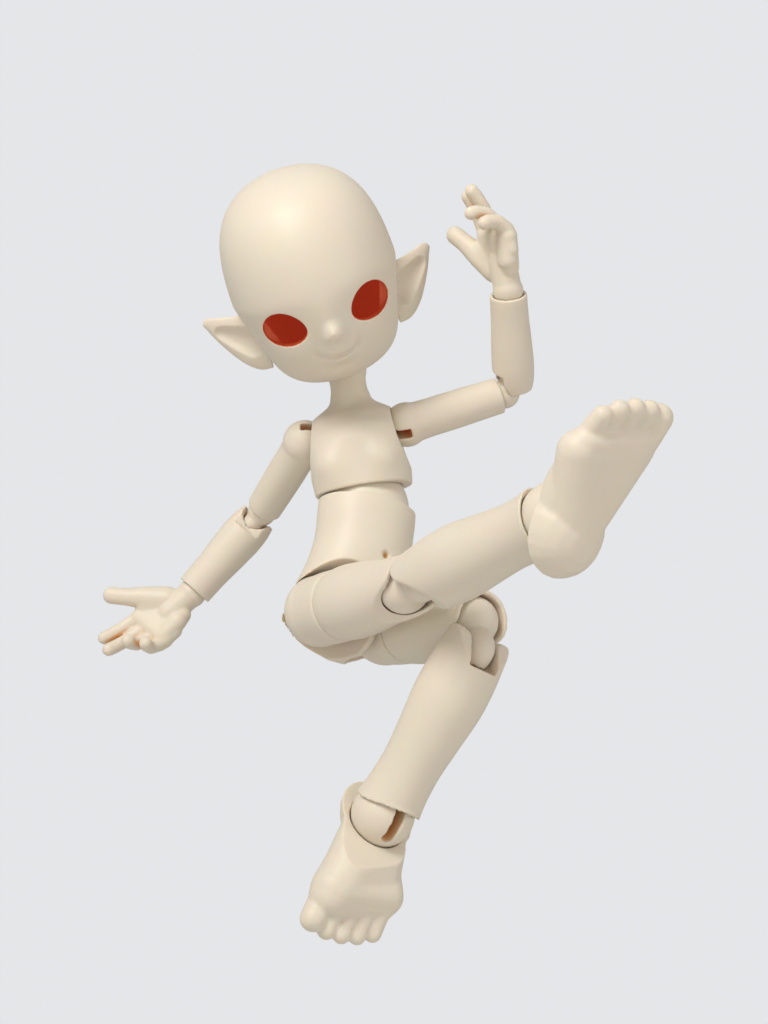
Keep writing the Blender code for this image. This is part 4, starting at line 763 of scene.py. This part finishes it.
def peanut(name, joint, ball_radius, lobe_radius, lobe_half_width, span):
    """A ball above a flattened lobe, grown into one: a loft through the larger of the two at each height."""
    half = (ball_radius + span + lobe_radius) / 2
    rows = []
    for turn in np.linspace(0, math.pi, 61)[1:-1]:
        z = ball_radius - half + half * math.cos(turn)
        above = ball_radius * math.sqrt(max(0, 1 - (z / ball_radius) ** 2))
        below = math.sqrt(max(0, 1 - ((z + span) / lobe_radius) ** 2))
        neck = lobe_half_width * 0.94 if -span < z < 0 else 0
        above = max(above, neck)
        rows.append((z, max(above, lobe_half_width * below), max(above, lobe_radius * below), 0.0))
    return object_of(name, skin(rows, top=ball_radius, bottom=-span - lobe_radius), joint)


def make_elbow(name, joint):
    elbow = peanut(name, joint, ELBOW_BALL_RADIUS, ELBOW_LOBE_RADIUS, ELBOW_LOBE_HALF_WIDTH, ELBOW_SPAN)
    end_slots(elbow, ELBOW_BALL_RADIUS, ELBOW_SPAN, ELBOW_FOLD, SLOT_HALF_WIDTH * 0.8, -1)


def end_slots(piece, radius, span, fold, width, way):
    """The cord's slots in both ends of a double joint, on the side that it folds to."""
    reach = radius + OVERRUN
    swing = np.radians(np.linspace(0, fold, 5))
    for middle, up in ((0, 1), (-span, -1)):
        outline = [(way * reach * math.sin(a), middle + up * reach * math.cos(a)) for a in swing]
        cut(piece, extruded([*outline, (-way * width, middle)], width))


FOREARM_TOP_SHARES = (
    # back and up from the elbow's lower pivot, by the forearm's half depth: full ears, low in front
    (1.40, 0.470), (-0.62, 0.470), (-0.70, 0.30), (-0.70, -0.47), (-1.20, -0.57), (-1.20, 2.00),
    (1.40, 2.00),
)


def make_forearm(name, joint):
    length = FOREARM_LENGTH
    wide, deep = FOREARM_WIDTH / 2, FOREARM_DEPTH / 2
    end = -(length - WRIST_RIM_RISE)
    keys = ((-FOREARM_EAR, 0.86, 0.86), (0.0, 0.95, 0.96), (0.12 * -end, 1.0, 1.0),
            (0.40 * -end, 0.96, 0.98), (0.75 * -end, 0.86, 0.90), (-end, 0.84, 0.88))
    rows = [(-drop, wide * a, deep * b, 0.0) for drop, a, b in smooth(keys, 9)]
    arm = object_of(name, skin(rows, sides=SIDES + 2), joint)
    knuckles = swung(ELBOW_BALL_RADIUS + GAP, ELBOW_SPAN, (0, ELBOW_FOLD / 2, ELBOW_FOLD))
    clear = ELBOW_LOBE_HALF_WIDTH + GAP
    sides = clear / (ELBOW_LOBE_RADIUS + GAP)
    outline = [(y * deep, z * deep) for y, z in FOREARM_TOP_SHARES]
    mouth = [(-deep / 2, 0), (deep / 2, 0), (deep / 2, 2 * deep), (-deep / 2, 2 * deep)]
    cut(arm, extruded(outline, 2 * wide), hull(*knuckles, outside=True),
        socket(ELBOW_LOBE_RADIUS + GAP, stretch=(sides, 1, 1)), extruded(mouth, clear),
        socket(WRIST_BALL_RADIUS + GAP, -length), bore(-length))


FINGERS_SHARES = (
    # across by palm width, start by palm length, length by palm length, three curls, splay
    (0.370, 0.950, 0.630, 8, 8, 6, 5),
    (0.125, 1.000, 0.670, 12, 12, 8, 1),
    (-0.125, 0.970, 0.620, 38, 32, 20, -1),
    (-0.355, 0.890, 0.520, 44, 36, 22, -5),
)
PHALANX_SHARES = (0.41, 0.31, 0.28)
THUMB_SHARES = (
    # across by palm width, palm side by palm thickness, down by palm length, radius
    (0.22, 0.06, 0.34, 1.75),
    (0.50, 0.28, 0.58, 1.50),
    (0.74, 0.47, 0.80, 1.16),
    (0.93, 0.60, 0.95, 1.16),
)


def finger_parts(side):
    """Pairs of balls down each finger, which bends at its joints."""
    for across, start, length, *curls, splay in FINGERS_SHARES:
        place = Vector((side * across * PALM_WIDTH, 0, -start * PALM_LENGTH))
        turn = Matrix.Rotation(math.radians(-side * splay), 3, "Y")
        radius = FINGER_RADIUS * 1.08
        chain = [(radius, place + spot(0.3 * PALM_LENGTH)), (radius, place)]
        for share, curl in zip(PHALANX_SHARES, curls):
            turn = turn @ Matrix.Rotation(math.radians(-curl), 3, "X")
            place = place + turn @ spot(-share * length * PALM_LENGTH)
            chain.append((FINGER_RADIUS, place))
        chain[-1] = (FINGER_RADIUS, place + turn @ spot(FINGER_RADIUS * 0.8))
        yield from zip(chain, chain[1:])


def hand_parts(side):
    """Pairs and groups of balls whose hulls make the palm, the thumb and the four fingers."""
    wide, thick, length = PALM_WIDTH / 2, PALM_THICK / 2, PALM_LENGTH
    edge = thick * 0.82
    wrist = WRIST_BALL_RADIUS * 0.93
    yield [(wrist, (0, 0, -0.10 * length)), (wrist * 0.97, (0, 0, -0.45 * length))]
    yield [(edge, (side * (wide - edge), 0, -0.86 * length)),
           (edge, (-side * (wide - edge), 0, -0.80 * length)),
           (edge, (side * wide * 0.35, 0, -0.34 * length)),
           (edge, (-side * wide * 0.40, 0, -0.34 * length))]
    yield [(edge * 1.05, (-side * wide * 0.52, -thick * 0.25, -0.45 * length)),
           (edge * 0.9, (-side * wide * 0.58, -thick * 0.2, -0.78 * length))]
    chain = [(THUMB_RADIUS * r, (side * x * PALM_WIDTH, -y * PALM_THICK, -z * PALM_LENGTH))
             for x, y, z, r in THUMB_SHARES]
    yield [chain[0], chain[1], (edge * 0.9, (side * (wide - edge), 0, -0.74 * length))]
    yield from zip(chain, chain[1:])
    yield from finger_parts(side)


def make_hand(name, joint, side):
    hand = object_of(name, blended(hand_parts(side), HAND_VOXEL, HAND_ROUNDS), joint)
    join(hand, ball(WRIST_BALL_RADIUS))
    room = HAND_HOOK_DEPTH + GAP
    cut(hand, rod(room * 0.8, 0, OVERRUN + WRIST_BALL_RADIUS, room * 1.5),
        ball(room, sides=SMALL_SIDES))


# Legs

def make_thigh_upper(name, joint):
    rows = ball_stations(HIP_BALL_RADIUS, 16, 100, 7)
    for drop, wide in ((0.55, 1.005), (0.93, 1.0), (1.0, 0.975)):
        rows.append((-THIGH_SEAM_DROP * drop, THIGH_RADIUS * wide, THIGH_RADIUS * wide, 0.0))
    thigh = object_of(name, skin(rows, sides=LEG_SIDES, top=HIP_BALL_RADIUS), joint)
    seam = -THIGH_SEAM_DROP
    cut(thigh, rod(THIGH_PEG_RADIUS + GAP, seam + THIGH_PEG_LENGTH + GAP, seam - OVERRUN), bore(seam))
    cord_slot(thigh, HIP_BALL_RADIUS, -8, 112)


def make_thigh_lower(name, joint):
    """Below the thigh's own turning seam, down to the knee cup. Its frame is at the knee pivot."""
    top = THIGH_LENGTH - THIGH_SEAM_DROP - GAP
    nose = KNEE_SPAN / 2 - GAP
    full, end = THIGH_RADIUS, THIGH_END_RADIUS
    keys = ((-top, full * 0.975), (-0.95 * top, full), (-0.6 * top, full * 0.99), (-0.25 * top, end * 1.03),
            (nose + GAP, end * 0.99))
    rows = [(-drop, r, r, 0.0) for drop, r in smooth(keys, 7)]
    thigh = object_of(name, skin(rows, sides=LEG_SIDES), joint)
    join(thigh, rod(THIGH_PEG_RADIUS, top - THIGH_PEG_LENGTH, top + THIGH_PEG_LENGTH))
    hollow = KNEE_BALL_RADIUS + GAP
    lobes = swung(KNEE_LOBE_RADIUS + GAP, -KNEE_SPAN, np.linspace(-KNEE_BACKWARD, KNEE_FOLD, 5))
    cut(thigh, nose_end(nose, 0, KNEE_FOLD, 2 * full, -1),
        socket(hollow, sides=LEG_SIDES), hull(*lobes, outside=True),
        rod(hollow, 0, -KNEE_SPAN, sides=LEG_SIDES), bore(top + THIGH_PEG_LENGTH + OVERRUN))


def make_knee(name, joint):
    knee = peanut(name, joint, KNEE_BALL_RADIUS, KNEE_LOBE_RADIUS, KNEE_LOBE_HALF_WIDTH, KNEE_SPAN)
    end_slots(knee, KNEE_BALL_RADIUS, KNEE_SPAN, KNEE_FOLD, SLOT_HALF_WIDTH, 1)


def make_shin(name, joint):
    length = SHIN_LENGTH
    nose = KNEE_SPAN / 2 - GAP
    end = length - ANKLE_RIM_RISE
    full = SHIN_RADIUS
    keys = ((-nose - GAP, 0.98), (0.0, 1.03), (0.12 * end, 1.10), (0.30 * end, 1.13), (0.52 * end, 1.02),
            (0.74 * end, 0.93), (0.90 * end, 0.97), (end, 1.05))
    rows = [(-drop, full * r, full * r, -full * 0.05 * math.sin(math.pi * np.clip(drop / end, 0, 1)))
            for drop, r in smooth(keys, 10)]

    def scooped(points):
        if points[0, 2] <= -end + WELD:
            front = np.clip(-points[:, 1] / full, 0, 1)
            points[:, 2] += ANKLE_RIM_SCOOP * front**2
        return points

    shin = object_of(name, skin(rows, sides=LEG_SIDES, shape=scooped), joint)
    knuckles = swung(KNEE_BALL_RADIUS + GAP, KNEE_SPAN, np.linspace(KNEE_BACKWARD, -KNEE_FOLD, 5))
    clear = KNEE_LOBE_HALF_WIDTH + GAP
    stems = swung(clear, KNEE_SPAN / 2, np.linspace(0, -KNEE_FOLD, 5))
    sides = clear / (KNEE_LOBE_RADIUS + GAP)
    mouth = KNEE_LOBE_RADIUS + GAP
    front = [(0, 0), (0, 2 * mouth), (-2 * mouth, 2 * mouth), (-2 * mouth, -mouth * 0.35),
             (-mouth * 0.6, -mouth * 0.5)]
    cut(shin, nose_end(nose, KNEE_FRONT, KNEE_FOLD, 2 * full, 1),
        hull(*knuckles, outside=True), hull(*stems, outside=True),
        socket(mouth, stretch=(sides, 1, 1)), extruded(front, clear * 0.9),
        socket(ANKLE_BALL_RADIUS + GAP, -length, sides=LEG_SIDES), bore(-length))


def make_ankle(name, joint):
    ankle = object_of(name, ball(ANKLE_BALL_RADIUS, sides=LEG_SIDES), joint)
    cord_slot(ankle, ANKLE_BALL_RADIUS, -60, 72)
    cut(ankle, rod(HOOK_HOLE_RADIUS, 0, -ANKLE_BALL_RADIUS - OVERRUN))


TOES_SHARES = (
    # across by half width, start and tip forward by foot length, radius by toe radius
    (0.34, 0.56, 0.720, 1.16),
    (0.00, 0.56, 0.708, 1.14),
    (-0.33, 0.54, 0.676, 1.12),
    (-0.65, 0.50, 0.622, 1.12),
)
FOOT_HULLS_SHARES = (
    # balls of one hull: kind, radius, inboard by half width, back by foot length, up from the sole
    (("heel", 1.00, 0.00, 0.075, 1.00), ("heel", 0.94, 0.00, 0.02, 1.25)),
    (("ankle", 1.10, 0.00, 0.00, -0.22), ("heel", 1.00, 0.00, 0.05, 1.00)),
    (("ankle", 1.023, 0.00, 0.00, -0.30), ("tread", 0.98, 0.42, -0.50, 1.00),
     ("tread", 0.72, -0.55, -0.42, 0.72)),
    (("heel", 0.60, 0.00, 0.00, 0.60), ("tread", 1.00, 0.46, -0.50, 1.00),
     ("tread", 0.80, -0.64, -0.40, 0.80)),
    (("tread", 0.90, 0.50, -0.54, 0.92), ("tread", 0.66, -0.62, -0.45, 0.68)),
    (("big_toe", 1.02, 0.62, -0.56, 1.15), ("big_toe", 1.00, 0.70, -0.695, 1.02)),
)


def foot_parts(side):
    """Groups of balls whose hulls make the heel, the instep and five toes. The big toe is inboard."""
    half, length = FOOT_WIDTH / 2, FOOT_LENGTH
    inboard = -side
    floor = -SOLE_DROP
    kinds = {"heel": (half * 0.84, floor), "tread": (half * 0.52, floor),
             "big_toe": (BIG_TOE_RADIUS * 1.06, floor), "ankle": (ANKLE_BALL_RADIUS, 0.0)}
    for balls in FOOT_HULLS_SHARES:
        group = []
        for kind, size, across, back, up in balls:
            unit, base = kinds[kind]
            group.append((unit * size, (inboard * half * across, back * length, base + unit * up)))
        yield group
    for across, start, tip, radius in TOES_SHARES:
        r = TOE_RADIUS * radius
        yield [(r * 1.1, (inboard * across * half, -start * length, floor + r * 1.9)),
               (r, (inboard * across * half, -tip * length, floor + r))]


def make_foot(name, joint, side):
    foot = object_of(name, blended(foot_parts(side), FOOT_VOXEL, FOOT_ROUNDS), joint)
    reach = FOOT_LENGTH
    lean = Matrix.Rotation(math.radians(-FOOT_RIM_LEAN), 4, "X")
    cut(foot, block((-reach, -reach, -FOOT_RIM_DROP), (reach, reach, reach), lean),
        socket(ANKLE_BALL_RADIUS + GAP, sides=LEG_SIDES), rod(HOOK_HOLE_RADIUS, 0, -SOLE_DROP + WALL))


def make_arm(word, side, chest, pose):
    """Frames down the arm, each turned by its joint, and the pieces that hang on them."""
    at = frames_down(chest, "_" + word, (
        ("shoulder_swing", (side * SHOULDER_APART / 2, 0, SHOULDER_RISE), X, -pose["swing"]),
        ("shoulder_raise", 0, Y, -side * pose["raise"]),
        ("elbow_turn", -UPPER_ARM_LENGTH, Z, pose["elbow_turn"]),
        ("elbow_fold", 0, X, -pose["elbow"]),
        ("forearm_fold", -ELBOW_SPAN, X, -pose["forearm"]),
        ("wrist_turn", -FOREARM_LENGTH, Z, pose["hand_turn"]),
        ("wrist_bend", 0, X, pose["hand_bend"]),
        ("wrist_side", 0, Y, pose["hand_side"])))
    arm = make_upper_arm(f"upper_arm_{word}", at["shoulder_raise"])
    slot = SHOULDER_BALL_RADIUS + OVERRUN
    width = SLOT_HALF_WIDTH
    outline = [(slot * math.cos(a), slot * math.sin(a)) for a in np.radians(np.linspace(*SHOULDER_SLOT, 8))]
    sector = extruded([(-width / 2, -width / 2), *outline], width)
    sector.transform(Matrix.Rotation(side * math.pi / 2, 4, "Z"))
    cut(arm, sector, ball(CORD_BORE_RADIUS, sides=SMALL_SIDES))
    make_elbow(f"elbow_{word}", at["elbow_fold"])
    make_forearm(f"forearm_{word}", at["forearm_fold"])
    make_hand(f"hand_{word}", at["wrist_side"], side)


def make_leg(word, side, pelvis, pose):
    """Frames down the leg, each turned by its joint, and the pieces that hang on them."""
    at = frames_down(pelvis, "_" + word, (
        ("hip_spread", (side * HIP_APART / 2, 0, 0), Y, -side * pose["spread"]),
        ("hip_swing", 0, X, -pose["swing"]),
        ("thigh_turn", -THIGH_LENGTH, Z, pose["thigh_turn"]),
        ("knee_fold", 0, X, pose["knee"]),
        ("shin_fold", -KNEE_SPAN, X, pose["shin"]),
        ("ankle_fold", -SHIN_LENGTH, X, pose["ankle"]),
        ("foot_turn", 0, Z, pose["foot_turn"]),
        ("foot_tilt", 0, Y, pose["foot_tilt"])))
    make_thigh_upper(f"thigh_upper_{word}", at["hip_swing"])
    make_thigh_lower(f"thigh_lower_{word}", at["thigh_turn"])
    make_knee(f"knee_{word}", at["knee_fold"])
    make_shin(f"shin_{word}", at["shin_fold"])
    make_ankle(f"ankle_{word}", at["ankle_fold"])
    make_foot(f"foot_{word}", at["foot_tilt"], side)


# Finish: every casting is remeshed, relaxed and given painted shade and glow in its hollows

BODIES = frame_data["record"]["behaviour"]["bodies"]
BODY_OF = {node: body for body, nodes in BODIES.items() for node in nodes}
VOXEL = 0.00036
FINE_VOXEL = 0.00028
FINE = ("head_face", "ear_", "hand_", "foot_", "elbow_")
KEEP_SHARE = 0.35
RELAX_ROUNDS = 4
# Share, reach, rays and blurring of the painted shade and glow in the hollows; the head's outer face takes
# only a share of it
FACE_SHADE_GLOW_SHARE = 0.4
SHADE_GLOW_REACH = 0.010
SHADE_GLOW_RAYS = 12
SHADE_GLOW_BLUR_ROUNDS = 3
RAYS_HEIGHT_SHARE = 0.85
SWELL_FRONT_SHARE = 0.35
HEAD_MIDDLE = Matrix()


def spread_rays(count):
    """Directions over a half ball about +Z, evenly spread."""
    k = np.arange(count) + 0.5
    z = 1 - k / count * RAYS_HEIGHT_SHARE
    turn = k * math.pi * (3 - math.sqrt(5))
    flat = np.sqrt(1 - z**2)
    return np.column_stack([flat * np.cos(turn), flat * np.sin(turn), z])


def inside_head(mesh):
    """Which points face the head's middle, or lie in the holes of the eyes: these take the full painted shade
    and glow.
    """
    turned_back = HEAD_MIDDLE.inverted()
    inside = np.zeros(len(mesh.vertices), bool)
    for i, vertex in enumerate(mesh.vertices):
        place = turned_back @ vertex.co
        inside[i] = (turned_back.to_3x3() @ vertex.normal).dot(place) < 0
        side = 1 if place.x > 0 else -1
        if place.y < -CAP_SEAM_BACK / 2 and not inside[i]:
            across, _, up = eye_place(side).inverted() @ place
            blunt = 1 + EYE_BLUNT_SHARE * side * across / (EYE_LENGTH / 2)
            inside[i] = math.hypot(2 * across / EYE_LENGTH, 2 * up / (EYE_HEIGHT * blunt)) < 1.0
    return inside


def paint_hollow_shade_glow(mesh, inside=None):
    """Painted shade and glow: a value on each point, 0 in the open and 1 deep in a cup, bore or slot of the
    same casting.
    """
    tree = BVHTree.FromPolygons([v.co for v in mesh.vertices], [p.vertices for p in mesh.polygons])
    rays = [Vector(r) for r in spread_rays(SHADE_GLOW_RAYS)]
    painted_shade_glow = np.zeros(len(mesh.vertices))
    for i, vertex in enumerate(mesh.vertices):
        turn = vertex.normal.to_track_quat("Z", "Y").to_matrix()
        start = vertex.co + vertex.normal * FINE_VOXEL
        met = 0.0
        for ray in rays:
            far = tree.ray_cast(start, turn @ ray, SHADE_GLOW_REACH)[3]
            if far is not None:
                met += 1 - 0.5 * far / SHADE_GLOW_REACH
        painted_shade_glow[i] = met / len(rays)
    ends = np.empty(2 * len(mesh.edges), int)
    mesh.edges.foreach_get("vertices", ends)
    ends = ends.reshape(-1, 2)
    share = np.bincount(ends.ravel(), minlength=len(painted_shade_glow))
    for _ in range(SHADE_GLOW_BLUR_ROUNDS):
        near = (np.bincount(ends[:, 0], painted_shade_glow[ends[:, 1]], len(painted_shade_glow))
                + np.bincount(ends[:, 1], painted_shade_glow[ends[:, 0]], len(painted_shade_glow)))
        painted_shade_glow = (painted_shade_glow + near / np.maximum(share, 1)) / 2
    if inside is not None:
        # Inside the head and in the eye holes the painted shade and glow is full; elsewhere on the head only a
        # share of it
        painted_shade_glow = np.where(inside(mesh), 1.0, FACE_SHADE_GLOW_SHARE * painted_shade_glow)
    made = mesh.attributes.new("painted_shade_glow", "FLOAT", "POINT")
    made.data.foreach_set("value", painted_shade_glow.astype(np.float32))


SWELLS_SHARES = {
    # across (both sides unless 0), ahead, up, reach and rise of each soft form, by the piece's own width
    "chest": (CHEST_WIDTH, ((0.26, 0.38, 0.40, 0.16, 0.060), (0.00, 0.42, 0.44, 0.15, -0.012),
                            (0.00, 0.20, 0.95, 0.06, -0.016), (0.14, 0.27, 0.87, 0.07, 0.014),
                            (0.28, 0.22, 0.87, 0.08, 0.013), (0.00, 0.38, 0.26, 0.12, -0.010))),
    "pelvis": (HIP_WIDTH, ((0.00, 0.32, 0.45, 0.16, 0.016),)),
}


def swell(mesh, turned_to, width, spots):
    """Soft forms of the body: each spot lifts or sinks the skin round it along its normals."""
    places = np.empty(3 * len(mesh.vertices))
    normals = np.empty(3 * len(mesh.vertices))
    mesh.vertices.foreach_get("co", places)
    mesh.vertices.foreach_get("normal", normals)
    places, normals = places.reshape(-1, 3), normals.reshape(-1, 3)
    ahead_way = np.array(turned_to.to_3x3() @ Vector((0, -1, 0)))
    facing = np.clip(normals @ ahead_way / SWELL_FRONT_SHARE, 0, 1)
    lift = np.zeros(len(places))
    for across, ahead, up, reach, rise in spots:
        for side in mirrored(across):
            middle = turned_to @ Vector((side * across * width, -ahead * width, up * width))
            away = np.linalg.norm(places - np.array(middle), axis=1) / (reach * width)
            lift += rise * width * np.exp(-away**2)
    mesh.vertices.foreach_set("co", (places + normals * (facing * lift)[:, None]).ravel())
    mesh.update()


def cast_piece(node, source):
    """One casting with sanded edges in place of its solid, riding on its body."""
    mesh = evaluated_mesh(source)
    mesh.transform(source.matrix_world)
    piece = bpy.data.objects.new("resin_" + node, mesh)
    bpy.context.scene.collection.objects.link(piece)
    voxel = (FINE_VOXEL if node.startswith(FINE) else VOXEL) * 1
    final = remeshed(piece, voxel, RELAX_ROUNDS, KEEP_SHARE)
    piece.modifiers.clear()
    piece.data = final
    if node in SWELLS_SHARES:
        swell(final, source.matrix_world, *SWELLS_SHARES[node])
    final.shade_smooth()
    final.materials.clear()
    # Painted shade and glow of the hollows, kept on the casting's points
    paint_hollow_shade_glow(final, inside_head if node in ("head_face", "head_cap") else None)
    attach(piece, BODY_OF[node])
    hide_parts(node)
    return piece


# Materials

def feed(tree, shader, inputs):
    """Sets each input of a node: a socket is linked to it, and a number or colour is put on it."""
    for name, value in inputs.items():
        if isinstance(value, bpy.types.NodeSocket):
            tree.links.new(value, shader.inputs[name])
        else:
            shader.inputs[name].default_value = value


def add_node(tree, kind, inputs=(), **settings):
    made = tree.nodes.new("ShaderNode" + kind)
    for name, value in settings.items():
        setattr(made, name, value)
    feed(tree, made, dict(inputs))
    return made


def ramp(tree, value, *stops):
    """Colours along a value. A stop is a place and a colour."""
    made = add_node(tree, "ValToRGB", {"Fac": value})
    elements = made.color_ramp.elements
    for element, stop in zip(elements, (stops[0], stops[-1])):
        element.position, element.color = stop
    for place, color in stops[1:-1]:
        elements.new(place).color = color
    return made.outputs["Color"]


def map_range(tree, value, from_min=0.0, to_min=0.0, to_max=1.0):
    ends = {"Value": value, "From Min": from_min, "To Min": to_min, "To Max": to_max}
    return add_node(tree, "MapRange", ends).outputs["Result"]


def bumps(tree, value, strength, distance):
    inputs = {"Height": value, "Strength": strength, "Distance": distance}
    return add_node(tree, "Bump", inputs).outputs["Normal"]


def new_material(name):
    """A material with its node tree and its main shader."""
    made = bpy.data.materials.new(name)
    made.use_nodes = True
    tree = made.node_tree
    return made, tree, tree.nodes["Principled BSDF"]


def own_place(tree):
    return add_node(tree, "TexCoord").outputs["Object"]


def resin_material():
    """Cream resin with painted shade and a painted glow of light through the resin in its hollows, with a
    faint cloud and grain.
    """
    made, tree, shader = new_material("cream_resin")
    place = own_place(tree)
    painted_shade_glow = add_node(tree, "Attribute", attribute_name="painted_shade_glow").outputs["Fac"]
    cloud = add_node(tree, "TexNoise", {"Vector": place, "Scale": 60.0, "Detail": 4.0}).outputs
    grain = add_node(tree, "TexNoise", {"Vector": place, "Scale": 2600.0, "Detail": 2.0}).outputs
    # Base colour runs from cream to an orange painted glow and a deep red painted shade as the hollows deepen
    tint = add_node(tree, "Mix", data_type="RGBA", blend_type="MULTIPLY")
    feed(tree, tint, {"Factor": 0.06, "A": ramp(tree, painted_shade_glow, (0.24, RESIN), (0.58, PAINTED_GLOW_ORANGE), (0.85, PAINTED_SHADE_AND_GLOW_RED)),
                      "B": cloud["Color"]})
    feed(tree, shader, {
        "Base Color": tint.outputs["Result"], "Normal": bumps(tree, grain["Fac"], 0.08, 0.0001),
        "Roughness": map_range(tree, cloud["Fac"], to_min=0.40, to_max=0.52),
        # Painted glow: the deepest hollows give off red light of their own
        "Emission Strength": map_range(tree, painted_shade_glow, from_min=0.55, to_max=0.55), "Emission Color": GLOW,
        "Subsurface Weight": 0.35, "Subsurface Radius": (1.0, 0.45, 0.2), "Subsurface Scale": 0.002,
        "Specular IOR Level": 0.4})
    return made


def cord_material():
    """White elastic with a slanting braid."""
    made, tree, shader = new_material("braided_elastic")
    braid = add_node(tree, "TexWave", {"Vector": own_place(tree), "Scale": 900.0, "Distortion": 1.5},
                     wave_type="BANDS", bands_direction="DIAGONAL").outputs["Fac"]
    feed(tree, shader, {"Base Color": ramp(tree, braid, (0.0, CORD_DARK), (1.0, CORD_LIGHT)),
                        "Normal": bumps(tree, braid, 0.5, 0.0002), "Roughness": 0.8})
    return made


def steel_material():
    """Bright drawn wire and plated magnets."""
    made, tree, shader = new_material("bright_steel")
    noise = add_node(tree, "TexNoise", {"Vector": own_place(tree), "Scale": 900.0}).outputs["Fac"]
    feed(tree, shader, {"Base Color": STEEL, "Metallic": 1.0,
                        "Roughness": map_range(tree, noise, to_min=0.22, to_max=0.4)})
    return made


# Stage, camera and light

CAMERA_AT = Vector((-0.25661, -0.42368, -0.13954))
CAMERA_LOOK = Vector((0.4971, 0.8024, 0.3301)).normalized()
CAMERA_UP = Vector((-0.272, -0.2172, 0.9375))
CAMERA_LENS = 63.28
CAMERA_SENSOR = 36.0
DOLL_MIDDLE = Vector((0.0, -0.02, 0.03))
FLOOR_DROP = 0.16
FLOOR_HALF = 3.0
BACKDROP_SHARE = 0.5
DAYLIGHT_STRENGTH = 0.43
LAMPS = (
    # name, reach, then right, up and towards the camera by the reach, size, power, colour
    ("key", 0.75, (-0.40, 0.80, 0.60), 0.34, 4.4, (1.0, 0.98, 0.94)),
    ("fill", 0.9, (0.9, 0.1, 0.6), 0.7, 2.1, (1.0, 0.97, 0.92)),
)


def make_camera():
    right = CAMERA_LOOK.cross(CAMERA_UP).normalized()
    up = right.cross(CAMERA_LOOK)
    camera = bpy.data.objects.new("camera", bpy.data.cameras.new("camera"))
    bpy.context.scene.collection.objects.link(camera)
    matrix = Matrix((right, up, -CAMERA_LOOK)).transposed().to_4x4()
    matrix.translation = CAMERA_AT
    camera.matrix_world = matrix
    camera.data.sensor_fit = "VERTICAL"
    camera.data.sensor_height = CAMERA_SENSOR
    camera.data.lens = CAMERA_LENS
    camera.data.clip_start = 0.01
    bpy.context.scene.camera = camera
    return right, up


def area_light(name, at, size, power, color):
    light = bpy.data.lights.new(name, "AREA")
    light.shape = "DISK"
    light.size = size
    light.energy = power
    light.color = color
    obj = bpy.data.objects.new(name, light)
    bpy.context.scene.collection.objects.link(obj)
    obj.location = at
    obj.rotation_euler = (DOLL_MIDDLE - at).to_track_quat("-Z", "Y").to_euler()


def mix_for_camera(tree, lit, seen, share, surface):
    """Sends a shader to a surface, with a share of another one mixed in for what the camera sees."""
    path = add_node(tree, "LightPath").outputs["Is Camera Ray"]
    part = add_node(tree, "Math", {0: path, 1: share}, operation="MULTIPLY").outputs["Value"]
    mix = add_node(tree, "MixShader", {"Fac": part, 1: lit, 2: seen}).outputs["Shader"]
    tree.links.new(mix, surface)


def make_stage():
    right, up = make_camera()
    for name, reach, way, *looks in LAMPS:
        across, above, near = way
        area_light(name, DOLL_MIDDLE + reach * (above * up + across * right - near * CAMERA_LOOK), *looks)
    bm = bmesh.new()
    bmesh.ops.create_grid(bm, x_segments=1, y_segments=1, size=FLOOR_HALF)
    floor = bpy.data.objects.new("floor", mesh_of(bm))
    floor.location = (0, 0, -FLOOR_DROP)
    bpy.context.scene.collection.objects.link(floor)
    made, tree, shader = new_material("pale_floor")
    feed(tree, shader, {"Base Color": FLOOR, "Roughness": 0.9})
    pale = add_node(tree, "Emission", {"Color": BACKDROP}).outputs["Emission"]
    mix_for_camera(tree, shader.outputs["BSDF"], pale, BACKDROP_SHARE,
                   tree.nodes["Material Output"].inputs["Surface"])
    floor.data.materials.append(made)
    world = bpy.data.worlds.new("studio")
    bpy.context.scene.world = world
    world.use_nodes = True
    tree = world.node_tree
    back = tree.nodes["Background"]
    feed(tree, back, {"Color": DAYLIGHT, "Strength": DAYLIGHT_STRENGTH})
    seen = add_node(tree, "Background", {"Color": BACKDROP, "Strength": 1.0}).outputs["Background"]
    mix_for_camera(tree, back.outputs["Background"], seen, 1.0, tree.nodes["World Output"].inputs["Surface"])
    bpy.context.scene.view_settings.view_transform = "Standard"


def dress():
    resin, cord, steel = resin_material(), cord_material(), steel_material()
    bpy.context.view_layer.update()
    HEAD_MIDDLE[:] = bpy.data.objects["head_middle"].matrix_world
    for node, source in PIECES.items():
        cast_piece(node, source).data.materials.append(resin)
    for name in (DOLL, CUTTERS):
        for obj in list(bpy.data.collections[name].objects):
            bpy.data.objects.remove(obj)
        bpy.data.collections.remove(bpy.data.collections[name])
    for node, obj in frame_data["nodes"].items():
        if node in PIECES:
            continue
        obj.data.materials.clear()
        obj.data.materials.append(cord if "cord" in node else steel)
        obj.data.shade_smooth()


def main():
    for name in (DOLL, CUTTERS):
        bpy.context.scene.collection.children.link(bpy.data.collections.new(name))
    pelvis = frame("pelvis_frame", None, 0)
    make_pelvis(pelvis)
    at = frames_down(pelvis, "", (
        ("waist_turn", WAIST_RISE, Z, WAIST_POSE["turn"]),
        ("waist_tilt", 0, Y, WAIST_POSE["tilt"]),
        ("waist_bend", 0, X, WAIST_POSE["bend"])))
    chest = at["waist_bend"]
    make_chest(chest)
    at = frames_down(chest, "", (
        ("neck_turn", NECK_RISE, Z, HEAD_POSE["turn"]),
        ("neck_tilt", 0, Y, HEAD_POSE["tilt"]),
        ("neck_nod", 0, X, HEAD_POSE["nod"]),
        ("head_middle", (0, -HEAD_FORWARD, HEAD_RISE))))
    make_head(at["head_middle"])
    for make, joint, right, left in ((make_arm, chest, RIGHT_ARM_POSE, LEFT_ARM_POSE),
                                     (make_leg, pelvis, RIGHT_LEG_POSE, LEFT_LEG_POSE)):
        make("right", -1, joint, right)
        make("left", 1, joint, left)
    dress()
    make_stage()


main()
